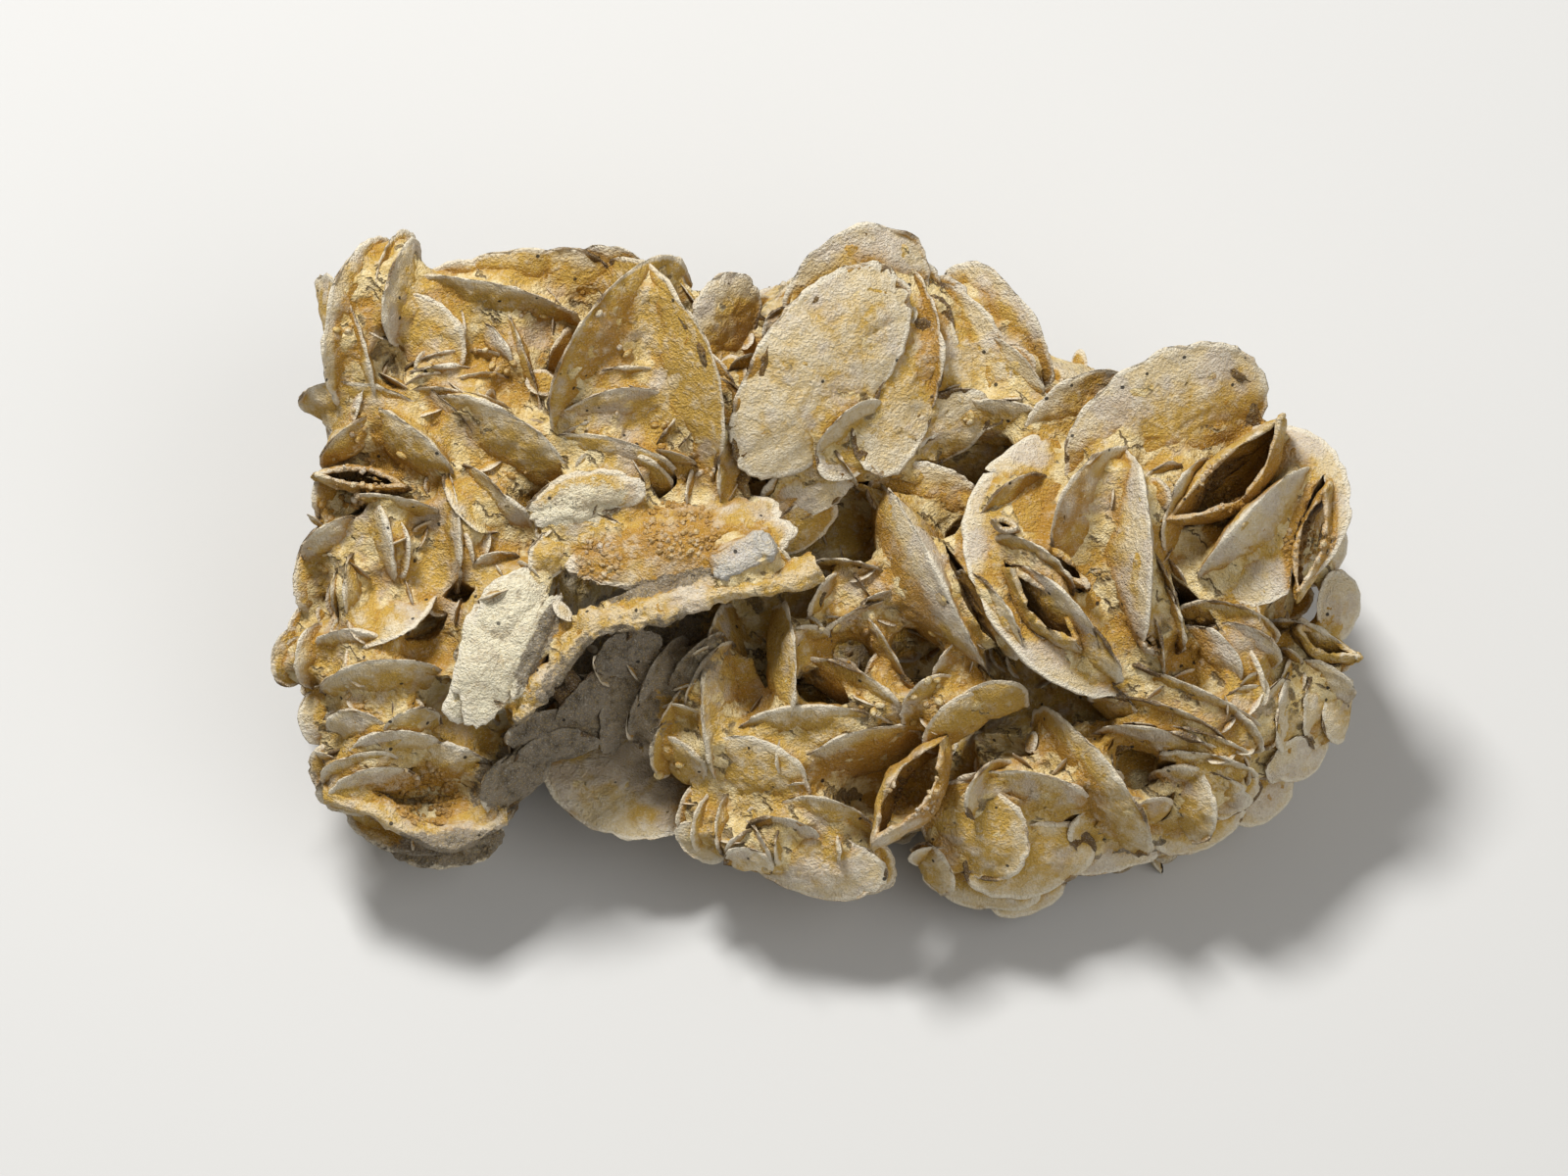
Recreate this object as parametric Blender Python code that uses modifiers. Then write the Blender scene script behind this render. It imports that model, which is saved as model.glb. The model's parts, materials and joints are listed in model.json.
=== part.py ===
"""Calcite pseudomorph after gypsum: a cluster of lens-shaped blades grown through one another.

The specimen is one grown piece, so it is one solid. Its body is a run of rounded lobes. Blades, each a lens turned
from a half section, stand out of the lobes on every side. Some blades are hollow casts, opened along their crest.
The foot is the flat fracture on which the cluster rests.

The blades of the best side are laid out on a tilted plane, the show face:
u runs to the right, v up the face and w out of it. Lengths in the tables are millimetres and angles are degrees.
"""

import math
import random
from typing import NamedTuple

import bpy
from mathutils import Matrix, Vector

# Driving dimensions.
MM = 0.001
SHOW_TILT = math.radians(25.0)  # the show face leans back this far from level
SHOW_ORIGIN = Vector((0.0, -4.0, 24.0))  # the middle of the show face, above the middle of the foot
FOOT_WIDTH = 160.0  # the cut under the foot reaches past the whole specimen
FOOT_DEPTH = 60.0
LOBE_DETAIL = 2  # subdivisions of the ball that each lobe starts as
RIM_STEPS = 8
LARGE_BLADE = 9.0  # blades with this half length or more have bulging faces, smaller ones have plain bevels
GROWTH_WAVE = 5.0  # length of the ripples on lobes and blades
BLADE_RIPPLE = 0.7
LOBE_RIPPLE = 2.6
SHELL_LENGTH = 0.80  # a cast's hollow as a share of its blade
SHELL_THICKNESS = 0.62
SHELL_LIFT = 0.34  # how far the hollow breaks through the crest, as a share of the blade's breadth
SEED = 11


class Lobe(NamedTuple):
    """A rounded mass on the show face: its centre and its radii."""

    u: float
    v: float
    w: float
    ru: float
    rv: float
    rw: float


class Blade(NamedTuple):
    """A lens: its middle on the show face, the height of its crest, and how it lies.

    strike turns its long axis from u towards v. dip raises the left side of that axis,
    or the right side if it is negative: 0 faces the viewer and 90 stands on edge.
    """

    u: float
    v: float
    crest: float
    strike: float
    dip: float
    half_length: float
    half_breadth: float
    thickness: float


LOBES = {
    "heart": Lobe(0, 0, -17, 44, 24, 15),
    "left": Lobe(-36, 1, -10, 17.5, 24, 18.5),
    "left_edge": Lobe(-45.5, -6, -4, 7.5, 12, 9),
    "upper_left": Lobe(-33, 17, -10, 16, 14, 18),
    "corner": Lobe(-43.5, 23, -6, 7.5, 8.5, 13),
    "tent": Lobe(-16, 16.5, -8, 15, 14, 17),
    "fan": Lobe(3, 19.5, -10, 16.5, 14, 19),
    "shelf": Lobe(-14, 3, -8, 10, 6, 14),
    "hollow_floor": Lobe(-2, -6, -16, 20, 17, 15),
    "right": Lobe(32, 2, -9, 19.5, 19.5, 18.5),
    "bottom_middle": Lobe(0, -21, -12, 15, 8.5, 12),
    "right_low": Lobe(41, -13, -10, 10.5, 10.5, 14),
    "bottom_right": Lobe(26, -20, -10, 19, 11.5, 12.5),
    "foot": Lobe(-41, -22, -10, 9.5, 6, 10),
    "back_left": Lobe(-26, 12, -24, 19, 15, 15),
    "back_right": Lobe(14, 12, -25, 26, 14, 15),
}

LEFT_CORNER = [
    Blade(-46.4, 25.8, 13, 76, 62, 8.9, 7.5, 3.6),
    Blade(-48.6, 20.5, 9, 84, -62, 8.5, 5.0, 3.0),
    Blade(-42.4, 28.8, 12, 80, 78, 5.4, 5.5, 2.2),
    Blade(-40.0, 25.2, 9, -35, 30, 4.2, 3.6, 1.8),
    Blade(-46.6, 18.6, 8, -8, 58, 4.8, 5.2, 2.8),
    Blade(-32.8, 26.4, 11, -14, 68, 8.4, 6.5, 2.6),
    Blade(-31.0, 29.6, 8, 8, 40, 6.8, 4.6, 2.6),
    Blade(-24.6, 30.6, 8, 14, 50, 5.4, 5.0, 2.4),
    Blade(-21.0, 29.8, 8, -32, 46, 4.4, 4.2, 2.2),
    Blade(-30.3, 21.2, 9, -71, 78, 5.8, 5.0, 1.8),
    Blade(-36.0, 19.0, 8, -6, 66, 6.6, 6.0, 2.6),
]
TENT = [
    Blade(-20.0, 22.3, 17, 55, 62, 10.6, 9.0, 3.4),
    Blade(-18.4, 19.6, 17, -70, 56, 12.6, 12.6, 3.2),
    Blade(-21.4, 19.6, 12, 9, 70, 6.4, 6.0, 2.0),
    Blade(-21.4, 16.4, 12, 22, 80, 6.6, 6.0, 3.0),
    Blade(-22.0, 12.6, 11, -12, 68, 6.8, 6.0, 2.6),
    Blade(-14.0, 12.6, 10, 84, 70, 5.0, 5.0, 1.6),
]
LEFT_FACE = [
    Blade(-41.8, 13.5, 11, -38, 80, 5.0, 5.0, 3.4),
    Blade(-32.7, 13.0, 12, -39, 66, 8.2, 7.5, 4.0),
    Blade(-39.6, 15.6, 9, -40, 60, 6.4, 6.0, 2.2),
    Blade(-47.8, 13.8, 9, 42, 72, 3.6, 3.6, 2.4),
    Blade(-35.3, 7.9, 10, -50, 76, 4.0, 4.0, 2.4),
    Blade(-37.9, 5.0, 10, -84, 80, 6.2, 5.5, 2.0),
    Blade(-44.9, 4.5, 9, -71, 80, 4.8, 4.8, 2.8),
    Blade(-47.5, -1.0, 9, 88, 82, 3.4, 3.6, 2.0),
    Blade(-43.6, -3.6, 9, 32, -62, 4.4, 4.4, 2.8),
    Blade(-44.4, -9.8, 9, 4, 82, 6.0, 5.0, 3.4),
    Blade(-49.5, 4.0, 8, 27, 70, 3.4, 3.6, 2.0),
    Blade(-51.4, -7.9, 6, 80, 70, 3.2, 4.4, 2.2),
    Blade(-50.6, -13.4, 2.5, 60, 30, 3.2, 3.0, 2.4),
    Blade(-52.4, -6.5, 3, 82, 40, 4.4, 3.0, 2.2),
    Blade(-51.4, 1.0, 5, 76, 42, 4.6, 3.0, 2.0),
    Blade(-49.6, 9.0, 6, 70, 50, 3.4, 3.0, 1.8),
]
CHALK_AND_SHELF = [
    Blade(-32.6, -5.4, 10, 62, 12, 9.6, 5.0, 7.0),
    Blade(-13.5, 2.0, 11.5, 12, -20, 12.0, 5.0, 4.0),
    Blade(-13.2, -1.0, 13, 14, -66, 12.0, 5.4, 3.0),
    Blade(-27.0, -8.4, 10.5, 52, -66, 5.8, 5.0, 3.2),
]
FAN = [
    Blade(0.0, 21.4, 14, 52, 22, 11.8, 7.0, 2.0),
    Blade(3.4, 29.0, 9, 30, 24, 8.0, 6.6, 2.0),
    Blade(4.4, 23.6, 13, 66, 24, 9.0, 7.0, 1.6),
    Blade(6.6, 22.4, 11.4, 74, 24, 8.8, 6.6, 1.6),
    Blade(7.4, 24.0, 9.8, 80, 26, 8.8, 6.2, 1.6),
    Blade(10.6, 22.6, 8.2, 78, 28, 8.4, 5.8, 1.6),
    Blade(13.4, 20.6, 6.8, 78, 30, 8.0, 5.6, 1.6),
    Blade(3.6, 17.0, 9.6, 62, 26, 7.6, 4.8, 1.4),
    Blade(11.4, 15.4, 6.6, 58, 30, 7.0, 5.2, 1.4),
    Blade(17.6, 25.4, 4.0, -54, 36, 7.2, 4.6, 2.0),
    Blade(20.2, 20.2, 6.0, -50, 62, 6.4, 5.6, 2.2),
    Blade(18.6, 15.6, 5.0, -10, 50, 5.4, 5.0, 2.0),
    Blade(1.8, 12.6, 8.0, -46, 74, 4.4, 4.6, 2.0),
    Blade(-1.0, 8.0, 6.4, 20, 30, 6.6, 4.6, 1.8),
    Blade(-9.8, 26.0, 7.5, 54, 50, 4.8, 4.8, 1.8),
    Blade(-3.6, 25.2, 9, 20, 50, 2.8, 3.8, 1.2),
    Blade(-7.4, 17.8, 9.6, -55, 62, 4.4, 4.6, 2.2),
    Blade(8.6, 10.8, 4.4, -6, 64, 5.6, 5.0, 1.6),
    Blade(13.6, 12.0, 4.6, -4, 60, 5.6, 5.0, 1.8),
]
HOLLOW_MIDDLE = [
    Blade(10.6, -0.6, 13, -60, 84, 11.4, 9.0, 7.0),
    Blade(1.6, 1.4, 3.4, 25, 62, 5.0, 5.0, 1.4),
    Blade(6.2, -6.8, 2.0, -56, 76, 5.2, 5.0, 1.6),
    Blade(3.4, -10.6, 2.6, -22, 58, 6.2, 5.0, 2.0),
    Blade(-2.6, -7.8, 6.0, -87, 74, 7.6, 6.0, 1.6),
    Blade(-10.2, -12.0, 5.0, 88, 78, 9.4, 7.6, 4.6),
    Blade(-14.6, -8.6, 3.4, 47, 74, 5.6, 5.4, 1.8),
    Blade(-17.0, -11.0, 2.4, 50, 74, 6.2, 5.4, 1.6),
]
BOTTOM_MIDDLE = [
    Blade(-0.8, -15.4, 7.5, 3, 68, 8.4, 6.4, 4.4),
    Blade(-6.8, -20.4, 6.0, -28, 42, 5.6, 5.2, 2.4),
    Blade(3.4, -18.4, 6.0, 17, 70, 7.0, 6.0, 2.4),
    Blade(1.0, -22.8, 4.6, -18, 50, 5.0, 4.4, 2.2),
    Blade(-3.6, -26.2, 3.6, -22, 30, 5.0, 3.4, 1.4),
    Blade(2.0, -28.8, 2.2, -14, 24, 5.8, 3.8, 2.4),
    Blade(-20.0, -21.0, -3.0, -12, -24, 8.6, 6.0, 2.2),
    Blade(-12.0, -23.4, 0.0, 60, 40, 3.8, 3.4, 1.8),
]
RIGHT_ROSE = [
    Blade(34.6, 14.8, 11.0, 32, 24, 11.6, 8.2, 2.4),
    Blade(26.0, 16.8, 7.0, 30, 36, 6.0, 4.4, 1.8),
    Blade(27.4, 2.2, 11.0, -60, -26, 14.2, 13.0, 2.2),
    Blade(25.6, 7.4, 14.0, 62, 74, 6.4, 6.0, 3.6),
    Blade(30.4, 2.8, 16.0, -88, 80, 9.8, 8.0, 4.6),
    Blade(34.0, -2.4, 12.6, -70, 78, 7.4, 6.0, 1.4),
    Blade(35.0, 8.6, 12.2, 66, 72, 4.6, 5.0, 1.6),
    Blade(43.6, 5.6, 14.0, 43, 78, 8.4, 6.6, 4.6),
    Blade(43.0, 6.4, 8.6, 40, -18, 10.0, 8.2, 2.4),
    Blade(47.6, 7.0, 7.4, 80, 34, 6.8, 4.6, 1.8),
]
RIGHT_EDGE = [
    Blade(51.0, 2.4, 3.0, 60, 40, 3.4, 2.8, 1.8),
    Blade(52.4, -2.8, 3.0, 84, 36, 3.8, 2.8, 1.8),
    Blade(50.0, -6.0, 5.0, -22, 60, 4.6, 4.4, 1.8),
    Blade(50.8, -12.8, 3.0, 82, 60, 4.6, 4.2, 1.8),
    Blade(47.6, -12.8, 5.0, 80, 66, 4.8, 4.6, 1.8),
    Blade(48.8, -17.4, 1.4, 60, 40, 3.8, 3.2, 1.8),
    Blade(44.8, -21.8, -1.6, 50, 30, 4.2, 3.6, 1.8),
    Blade(34.8, -12.6, 8.0, -17, 56, 6.8, 4.4, 1.4),
    Blade(37.6, -10.4, 8.6, -20, 58, 6.6, 4.4, 1.2),
    Blade(36.0, -15.2, 7.0, -14, 54, 5.4, 4.0, 1.2),
    Blade(41.0, -17.4, 6.0, -20, 56, 4.6, 3.8, 1.2),
]
BOTTOM_RIGHT = [
    Blade(27.4, -19.4, 8.0, -51, 60, 8.6, 7.6, 3.2),
    Blade(36.8, -21.6, 6.0, -64, 66, 5.2, 5.0, 3.2),
    Blade(19.6, -19.6, 6.6, -8, 64, 6.8, 6.0, 3.0),
    Blade(15.4, -25.4, 5.0, -38, 34, 6.2, 5.4, 2.4),
    Blade(21.0, -28.6, 1.6, 14, 30, 7.0, 4.4, 2.0),
    Blade(30.0, -26.8, 0.6, 16, 34, 7.2, 3.8, 2.0),
    Blade(38.8, -25.0, 0.2, 30, 34, 5.4, 3.2, 2.0),
    Blade(16.0, -30.6, -1.6, -16, 30, 6.4, 3.8, 2.0),
    Blade(21.0, -32.0, -3.4, 24, 30, 4.4, 3.0, 1.8),
]
FOOT = [
    Blade(-42.0, -19.2, 4.0, -4, 50, 9.0, 4.6, 2.2),
    Blade(-45.2, -21.2, 2.0, 6, 36, 6.8, 3.8, 2.0),
    Blade(-37.4, -23.2, 1.2, 8, -30, 6.6, 4.2, 2.0),
    Blade(-41.4, -24.6, -1.2, -4, -34, 7.4, 4.6, 2.2),
    Blade(-38.8, -26.6, -3.0, 6, -26, 6.0, 3.6, 2.4),
    Blade(-49.2, -19.8, 2.0, -20, 30, 3.6, 3.2, 1.8),
]
CASTS = [
    Blade(-46.4, 9.8, 9.6, -8, 84, 5.2, 5.0, 3.2),
    Blade(22.8, -2.2, 13.6, -48, 78, 8.8, 7.0, 4.8),
    Blade(24.6, 3.0, 13.0, -40, 76, 6.0, 5.5, 3.4),
    Blade(40.2, 9.6, 12.6, 38, 80, 8.6, 6.6, 5.0),
    Blade(48.4, 3.0, 10.4, 70, 78, 6.4, 5.6, 4.0),
    Blade(9.0, -21.8, 6.4, 62, 76, 7.6, 7.0, 6.8),
    Blade(17.4, -16.2, 6.4, -14, 80, 4.8, 4.6, 4.2),
    Blade(23.4, -25.2, 4.6, 25, 76, 4.8, 4.4, 3.2),
    Blade(-40.0, -21.0, 3.8, 0, 74, 5.8, 5.0, 4.2),
]
SOLID_BLADES = (
    LEFT_CORNER + TENT + LEFT_FACE + CHALK_AND_SHELF + FAN + HOLLOW_MIDDLE
    + BOTTOM_MIDDLE + RIGHT_ROSE + RIGHT_EDGE + BOTTOM_RIGHT + FOOT
)

# The sides that the show face turns away from are covered by blades that stand out of these lobes.
BACK_LOBES = ("left", "upper_left", "fan", "right", "right_low", "back_left", "back_right", "heart")
BACK_TRIES = 900  # spots thrown at the lobes: those buried, in front or too low are passed over
BACK_BLADES = 44
BACK_FACING = -0.18  # a back blade stands where the lobe's normal has less than this share towards w
BACK_SPACING = 5.0
BACK_CREST = 2.6
LOWEST_BACK = 5.0


def clear_scene():
    for obj in list(bpy.data.objects):
        bpy.data.objects.remove(obj)


def new_collection(name):
    made = bpy.data.collections.new(name)
    bpy.context.scene.collection.children.link(made)
    return made


def show_frame():
    """The show face's own axes and origin, as a matrix to world millimetres."""
    turn = Matrix.Rotation(SHOW_TILT, 4, "X")
    return Matrix.Translation(SHOW_ORIGIN) @ turn


def helper(obj, collection):
    """A body that a Boolean takes in: it isn't a node itself."""
    for held in list(obj.users_collection):
        held.objects.unlink(obj)
    collection.objects.link(obj)
    obj.hide_render = True
    obj.display_type = "WIRE"
    return obj


def add_ripple(obj, size, strength):
    """The uneven growth of the surface: a soft noise fixed in space, so that no two blades are alike."""
    texture = bpy.data.textures.new(obj.name + "_ripple", "CLOUDS")
    texture.noise_scale = size * MM
    texture.noise_depth = 1
    ripple = obj.modifiers.new("ripple", "DISPLACE")
    ripple.texture = texture
    ripple.texture_coords = "GLOBAL"
    ripple.strength = strength * MM
    ripple.mid_level = 0.5


def lens_section(name, rings):
    """Half the section of a lens of radius 1 and thickness 1, from its pole round the rim to the other pole.

    rings is the number of rings between the pole and the rim.
    """
    upper = []
    for i in range(rings + 1):
        share = i / (rings + 1)
        upper.append((share, 0.0, 0.5 * (1.0 - share ** 2)))
    lower = [(r, 0.0, -z) for r, _, z in reversed(upper)]
    points = upper + [(1.0, 0.0, 0.0)] + lower
    mesh = bpy.data.meshes.new(name)
    mesh.from_pydata(points, [(i, i + 1) for i in range(len(points) - 1)], [])
    return mesh


def section_for(half_length, sections):
    """The section that suits a blade's size."""
    return sections["bulging" if half_length >= LARGE_BLADE else "bevelled"]


def turned_lens(name, section, matrix, collection, steps=RIM_STEPS):
    """A lens turned from the shared section, then set at its size and place."""
    obj = bpy.data.objects.new(name, section)
    collection.objects.link(obj)
    helper(obj, collection)
    turn = obj.modifiers.new("turn", "SCREW")
    turn.steps = steps
    turn.render_steps = steps
    turn.use_merge_vertices = True
    turn.merge_threshold = 1e-5
    turn.use_normal_calculate = True
    obj.matrix_world = matrix
    return obj


def lens_matrix(centre, along, up, half_length, half_breadth, thickness):
    """The frame of a lens: along is its long axis, up points to its crest, both world unit vectors."""
    across = along.cross(up)
    columns = (along * half_length, up * half_breadth, across * thickness)
    matrix = Matrix.Identity(4)
    for i, column in enumerate(columns):
        matrix.col[i] = (*(column * MM), 0.0)
    matrix.col[3] = (*(centre * MM), 1.0)
    return matrix


def blade_axes(blade):
    """Centre, long axis and crest direction of a show-face blade, in world millimetres."""
    frame = show_frame()
    strike = math.radians(blade.strike)
    dip = math.radians(blade.dip)
    side = 1.0 if blade.dip >= 0 else -1.0
    along = Vector((math.cos(strike), math.sin(strike), 0.0))
    up = Vector((-math.sin(strike) * math.cos(dip), math.cos(strike) * math.cos(dip), math.sin(dip))) * side
    depth = blade.crest - blade.half_breadth * up.z
    centre = frame @ Vector((blade.u, blade.v, depth))
    turn = frame.to_3x3()
    return centre, turn @ along, turn @ up


def show_blade(name, blade, sections, collection):
    centre, along, up = blade_axes(blade)
    matrix = lens_matrix(centre, along, up, blade.half_length, blade.half_breadth, blade.thickness)
    obj = turned_lens(name, section_for(blade.half_length, sections), matrix, collection)
    add_ripple(obj, GROWTH_WAVE, BLADE_RIPPLE)
    return obj


def cast_hollow(name, blade, sections, collection):
    """The void of a hollow cast: a smaller lens that breaks through the crest."""
    centre, along, up = blade_axes(blade)
    lifted = centre + up * (blade.half_breadth * SHELL_LIFT)
    matrix = lens_matrix(
        lifted, along, up,
        blade.half_length * SHELL_LENGTH, blade.half_breadth, blade.thickness * SHELL_THICKNESS,
    )
    return turned_lens(name, sections["bulging"], matrix, collection)


def lobe_centre(lobe):
    return show_frame() @ Vector((lobe.u, lobe.v, lobe.w))


def add_lobe(name, lobe, collection):
    bpy.ops.mesh.primitive_ico_sphere_add(subdivisions=LOBE_DETAIL, radius=1.0)
    obj = bpy.context.object
    obj.name = name
    helper(obj, collection)
    obj.matrix_world = (
        Matrix.Translation(lobe_centre(lobe) * MM)
        @ Matrix.Rotation(SHOW_TILT, 4, "X")
        @ Matrix.Diagonal((lobe.ru * MM, lobe.rv * MM, lobe.rw * MM, 1.0))
    )
    add_ripple(obj, 2 * GROWTH_WAVE, LOBE_RIPPLE)
    return obj


def inside_another(point, name):
    """Whether a point of the show frame lies inside a lobe other than the named one."""
    for other, lobe in LOBES.items():
        if other == name:
            continue
        reach = Vector(((point.x - lobe.u) / lobe.ru, (point.y - lobe.v) / lobe.rv, (point.z - lobe.w) / lobe.rw))
        if reach.length < 1.0:
            return True
    return False


def random_way(dice):
    return Vector((dice.gauss(0, 1), dice.gauss(0, 1), dice.gauss(0, 1))).normalized()


def back_spot(name, taken, dice):
    """A spot on a lobe's far side and the normal there, or None where it is buried, low, in front or taken."""
    lobe = LOBES[name]
    way = random_way(dice)
    spot = Vector((lobe.u + way.x * lobe.ru, lobe.v + way.y * lobe.rv, lobe.w + way.z * lobe.rw))
    if way.z > BACK_FACING or inside_another(spot, name):
        return None
    if (show_frame() @ spot).z < LOWEST_BACK:
        return None
    if any((spot - other).length < BACK_SPACING for other in taken):
        return None
    return spot, Vector((way.x / lobe.ru, way.y / lobe.rv, way.z / lobe.rw)).normalized()


def add_back_blades(sections, collection):
    """Blades of all sizes at all angles over the far sides."""
    dice = random.Random(SEED)
    turn = show_frame().to_3x3()
    taken = []
    for _ in range(BACK_TRIES):
        found = back_spot(dice.choice(BACK_LOBES), taken, dice)
        if found is None or len(taken) == BACK_BLADES:
            continue
        spot, normal = found
        up = (normal + random_way(dice) * 0.45).normalized()
        along = up.cross(random_way(dice)).normalized()
        half_length = dice.uniform(6.0, 11.0)
        half_breadth = half_length * dice.uniform(0.75, 0.95)
        thickness = half_length * dice.uniform(0.28, 0.5)
        centre = show_frame() @ (spot + normal * (BACK_CREST - half_breadth))
        matrix = lens_matrix(centre, turn @ along, turn @ up, half_length, half_breadth, thickness)
        obj = turned_lens(f"back_{len(taken)}", section_for(half_length, sections), matrix, collection)
        add_ripple(obj, GROWTH_WAVE, BLADE_RIPPLE)
        taken.append(spot)


def calcite():
    """Honey-tan calcite, dull as dried clay."""
    material = bpy.data.materials.new("calcite")
    material.use_nodes = True
    surface = material.node_tree.nodes["Principled BSDF"]
    surface.inputs["Base Color"].default_value = (0.56, 0.36, 0.16, 1.0)
    surface.inputs["Roughness"].default_value = 0.75
    surface.inputs["Metallic"].default_value = 0.0
    return material


def add_boolean(obj, name, operation, collection=None, other=None):
    modifier = obj.modifiers.new(name, "BOOLEAN")
    modifier.operation = operation
    modifier.solver = "EXACT"
    if collection:
        modifier.operand_type = "COLLECTION"
        modifier.collection = collection
    else:
        modifier.object = other


def main():
    clear_scene()
    specimen = new_collection("calcite_after_gypsum")
    grown = new_collection("grown_bodies")
    hollows = new_collection("cast_hollows")
    sections = {"bulging": lens_section("bulging", 1), "bevelled": lens_section("bevelled", 0)}

    for name, lobe in LOBES.items():
        add_lobe("lobe_" + name, lobe, grown)
    for i, blade in enumerate(SOLID_BLADES + CASTS):
        show_blade(f"blade_{i}", blade, sections, grown)
    add_back_blades(sections, grown)
    for i, blade in enumerate(CASTS):
        cast_hollow(f"cast_{i}", blade, sections, hollows)

    bpy.ops.mesh.primitive_cube_add(size=1.0)
    fracture = helper(bpy.context.object, hollows)
    fracture.name = "foot_fracture"
    fracture.matrix_world = (
        Matrix.Translation((0.0, 0.0, -FOOT_DEPTH / 2 * MM))
        @ Matrix.Diagonal((FOOT_WIDTH * MM, FOOT_WIDTH * MM, FOOT_DEPTH * MM, 1.0))
    )

    cluster = grown.objects["lobe_hollow_floor"]
    grown.objects.unlink(cluster)
    specimen.objects.link(cluster)
    cluster.name = "crystal_cluster"
    cluster.hide_render = False
    cluster.display_type = "TEXTURED"
    cluster.data.materials.append(calcite())
    add_boolean(cluster, "grow_together", "UNION", collection=grown)
    add_boolean(cluster, "open_casts", "DIFFERENCE", collection=hollows)


main()
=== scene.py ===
"""Calcite pseudomorph after gypsum: the finish of the whole specimen.

The cluster stands on its flat fracture. Its best side faces up and towards the viewer on a tilted plane, the show
face, where u runs right, v up the face and w out of it. Rows of numbers give crystals on that plane in millimetres
and degrees: u, v, crest height, strike, dip, half length, half breadth, thickness.
"""

import json
import math
import random

import bmesh
import bpy
import numpy as np
from mathutils import Matrix, Vector
from mathutils.bvhtree import BVHTree

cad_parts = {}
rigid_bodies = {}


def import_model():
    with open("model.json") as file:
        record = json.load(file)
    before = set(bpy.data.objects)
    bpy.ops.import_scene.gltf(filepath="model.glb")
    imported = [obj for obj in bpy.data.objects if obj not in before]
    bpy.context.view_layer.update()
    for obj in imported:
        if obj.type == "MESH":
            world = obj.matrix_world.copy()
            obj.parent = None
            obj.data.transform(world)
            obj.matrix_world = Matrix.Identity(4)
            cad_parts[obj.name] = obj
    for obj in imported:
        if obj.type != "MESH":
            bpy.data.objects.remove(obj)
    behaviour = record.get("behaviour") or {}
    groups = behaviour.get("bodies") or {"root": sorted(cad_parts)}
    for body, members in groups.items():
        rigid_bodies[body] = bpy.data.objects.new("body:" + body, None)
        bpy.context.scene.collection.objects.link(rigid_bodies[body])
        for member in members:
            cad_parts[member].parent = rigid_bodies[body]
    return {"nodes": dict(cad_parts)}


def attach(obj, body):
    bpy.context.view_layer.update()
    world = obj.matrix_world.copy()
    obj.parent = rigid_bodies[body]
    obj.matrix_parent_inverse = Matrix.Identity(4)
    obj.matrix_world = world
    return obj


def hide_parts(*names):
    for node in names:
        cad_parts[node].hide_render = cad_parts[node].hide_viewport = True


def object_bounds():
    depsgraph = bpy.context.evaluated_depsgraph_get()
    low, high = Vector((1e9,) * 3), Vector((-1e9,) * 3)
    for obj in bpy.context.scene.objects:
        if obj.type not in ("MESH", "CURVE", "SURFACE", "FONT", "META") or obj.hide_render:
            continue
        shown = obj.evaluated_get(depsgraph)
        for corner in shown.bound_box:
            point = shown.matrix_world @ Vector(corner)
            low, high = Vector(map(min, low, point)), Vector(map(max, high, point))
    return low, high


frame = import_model()
cad_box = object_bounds()


# ---------------------------------------------------------------------------------------------------------------
# The core that the crystals grew on, a lump of calcite hidden under them. It is a copy of the solid, drawn in and
# softened so that only the fine blades show.

MM = 0.001
SHOW_TILT = math.radians(25.0)
SHOW = Matrix.Translation(Vector((0.0, -4.0, 24.0)) * MM) @ Matrix.Rotation(SHOW_TILT, 4, "X")
CORE_GRAIN = 0.8  # size of the faces of its surface
CORE_DEPTH = 0.6  # how far it lies below the solid's surface
CORE_SOFTEN = 20


def take_alone(obj):
    """Makes obj the only selected object and the active one."""
    bpy.ops.object.select_all(action="DESELECT")
    obj.select_set(True)
    bpy.context.view_layer.objects.active = obj


def apply_modifier(obj, name, kind, **settings):
    """Adds a modifier to obj, sets it and applies it."""
    take_alone(obj)
    modifier = obj.modifiers.new(name, kind)
    for key, value in settings.items():
        setattr(modifier, key, value)
    bpy.ops.object.modifier_apply(modifier=name)


def roughen(obj, size, height, kind="CLOUDS", direction="NORMAL"):
    """Pushes the surface in and out by a noise of the given size, both in millimetres."""
    texture = bpy.data.textures.new(f"{obj.name}_{size}", kind)
    texture.noise_scale = size * MM
    settings = {"texture": texture, "texture_coords": "LOCAL", "strength": height * MM, "mid_level": 0.5}
    apply_modifier(obj, "roughen", "DISPLACE", direction=direction, **settings)


def attribute(obj, name, values):
    """Stores one number for each vertex, for the finishes to read."""
    made = obj.data.attributes.get(name) or obj.data.attributes.new(name, "FLOAT", "POINT")
    made.data.foreach_set("value", np.asarray(values, dtype=np.float32))


def points_of(obj):
    """The vertices of obj as rows of x, y, z."""
    flat = np.empty(3 * len(obj.data.vertices), dtype=np.float32)
    obj.data.vertices.foreach_get("co", flat)
    return flat.reshape(-1, 3)


def set_points(obj, points):
    obj.data.vertices.foreach_set("co", np.asarray(points, dtype=np.float32).ravel())
    obj.data.update()


def settle_on_foot(obj):
    """Keeps every point at or above the plane on which the cluster rests."""
    points = points_of(obj)
    points[:, 2] = np.maximum(points[:, 2], 0.0)
    set_points(obj, points)


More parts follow.
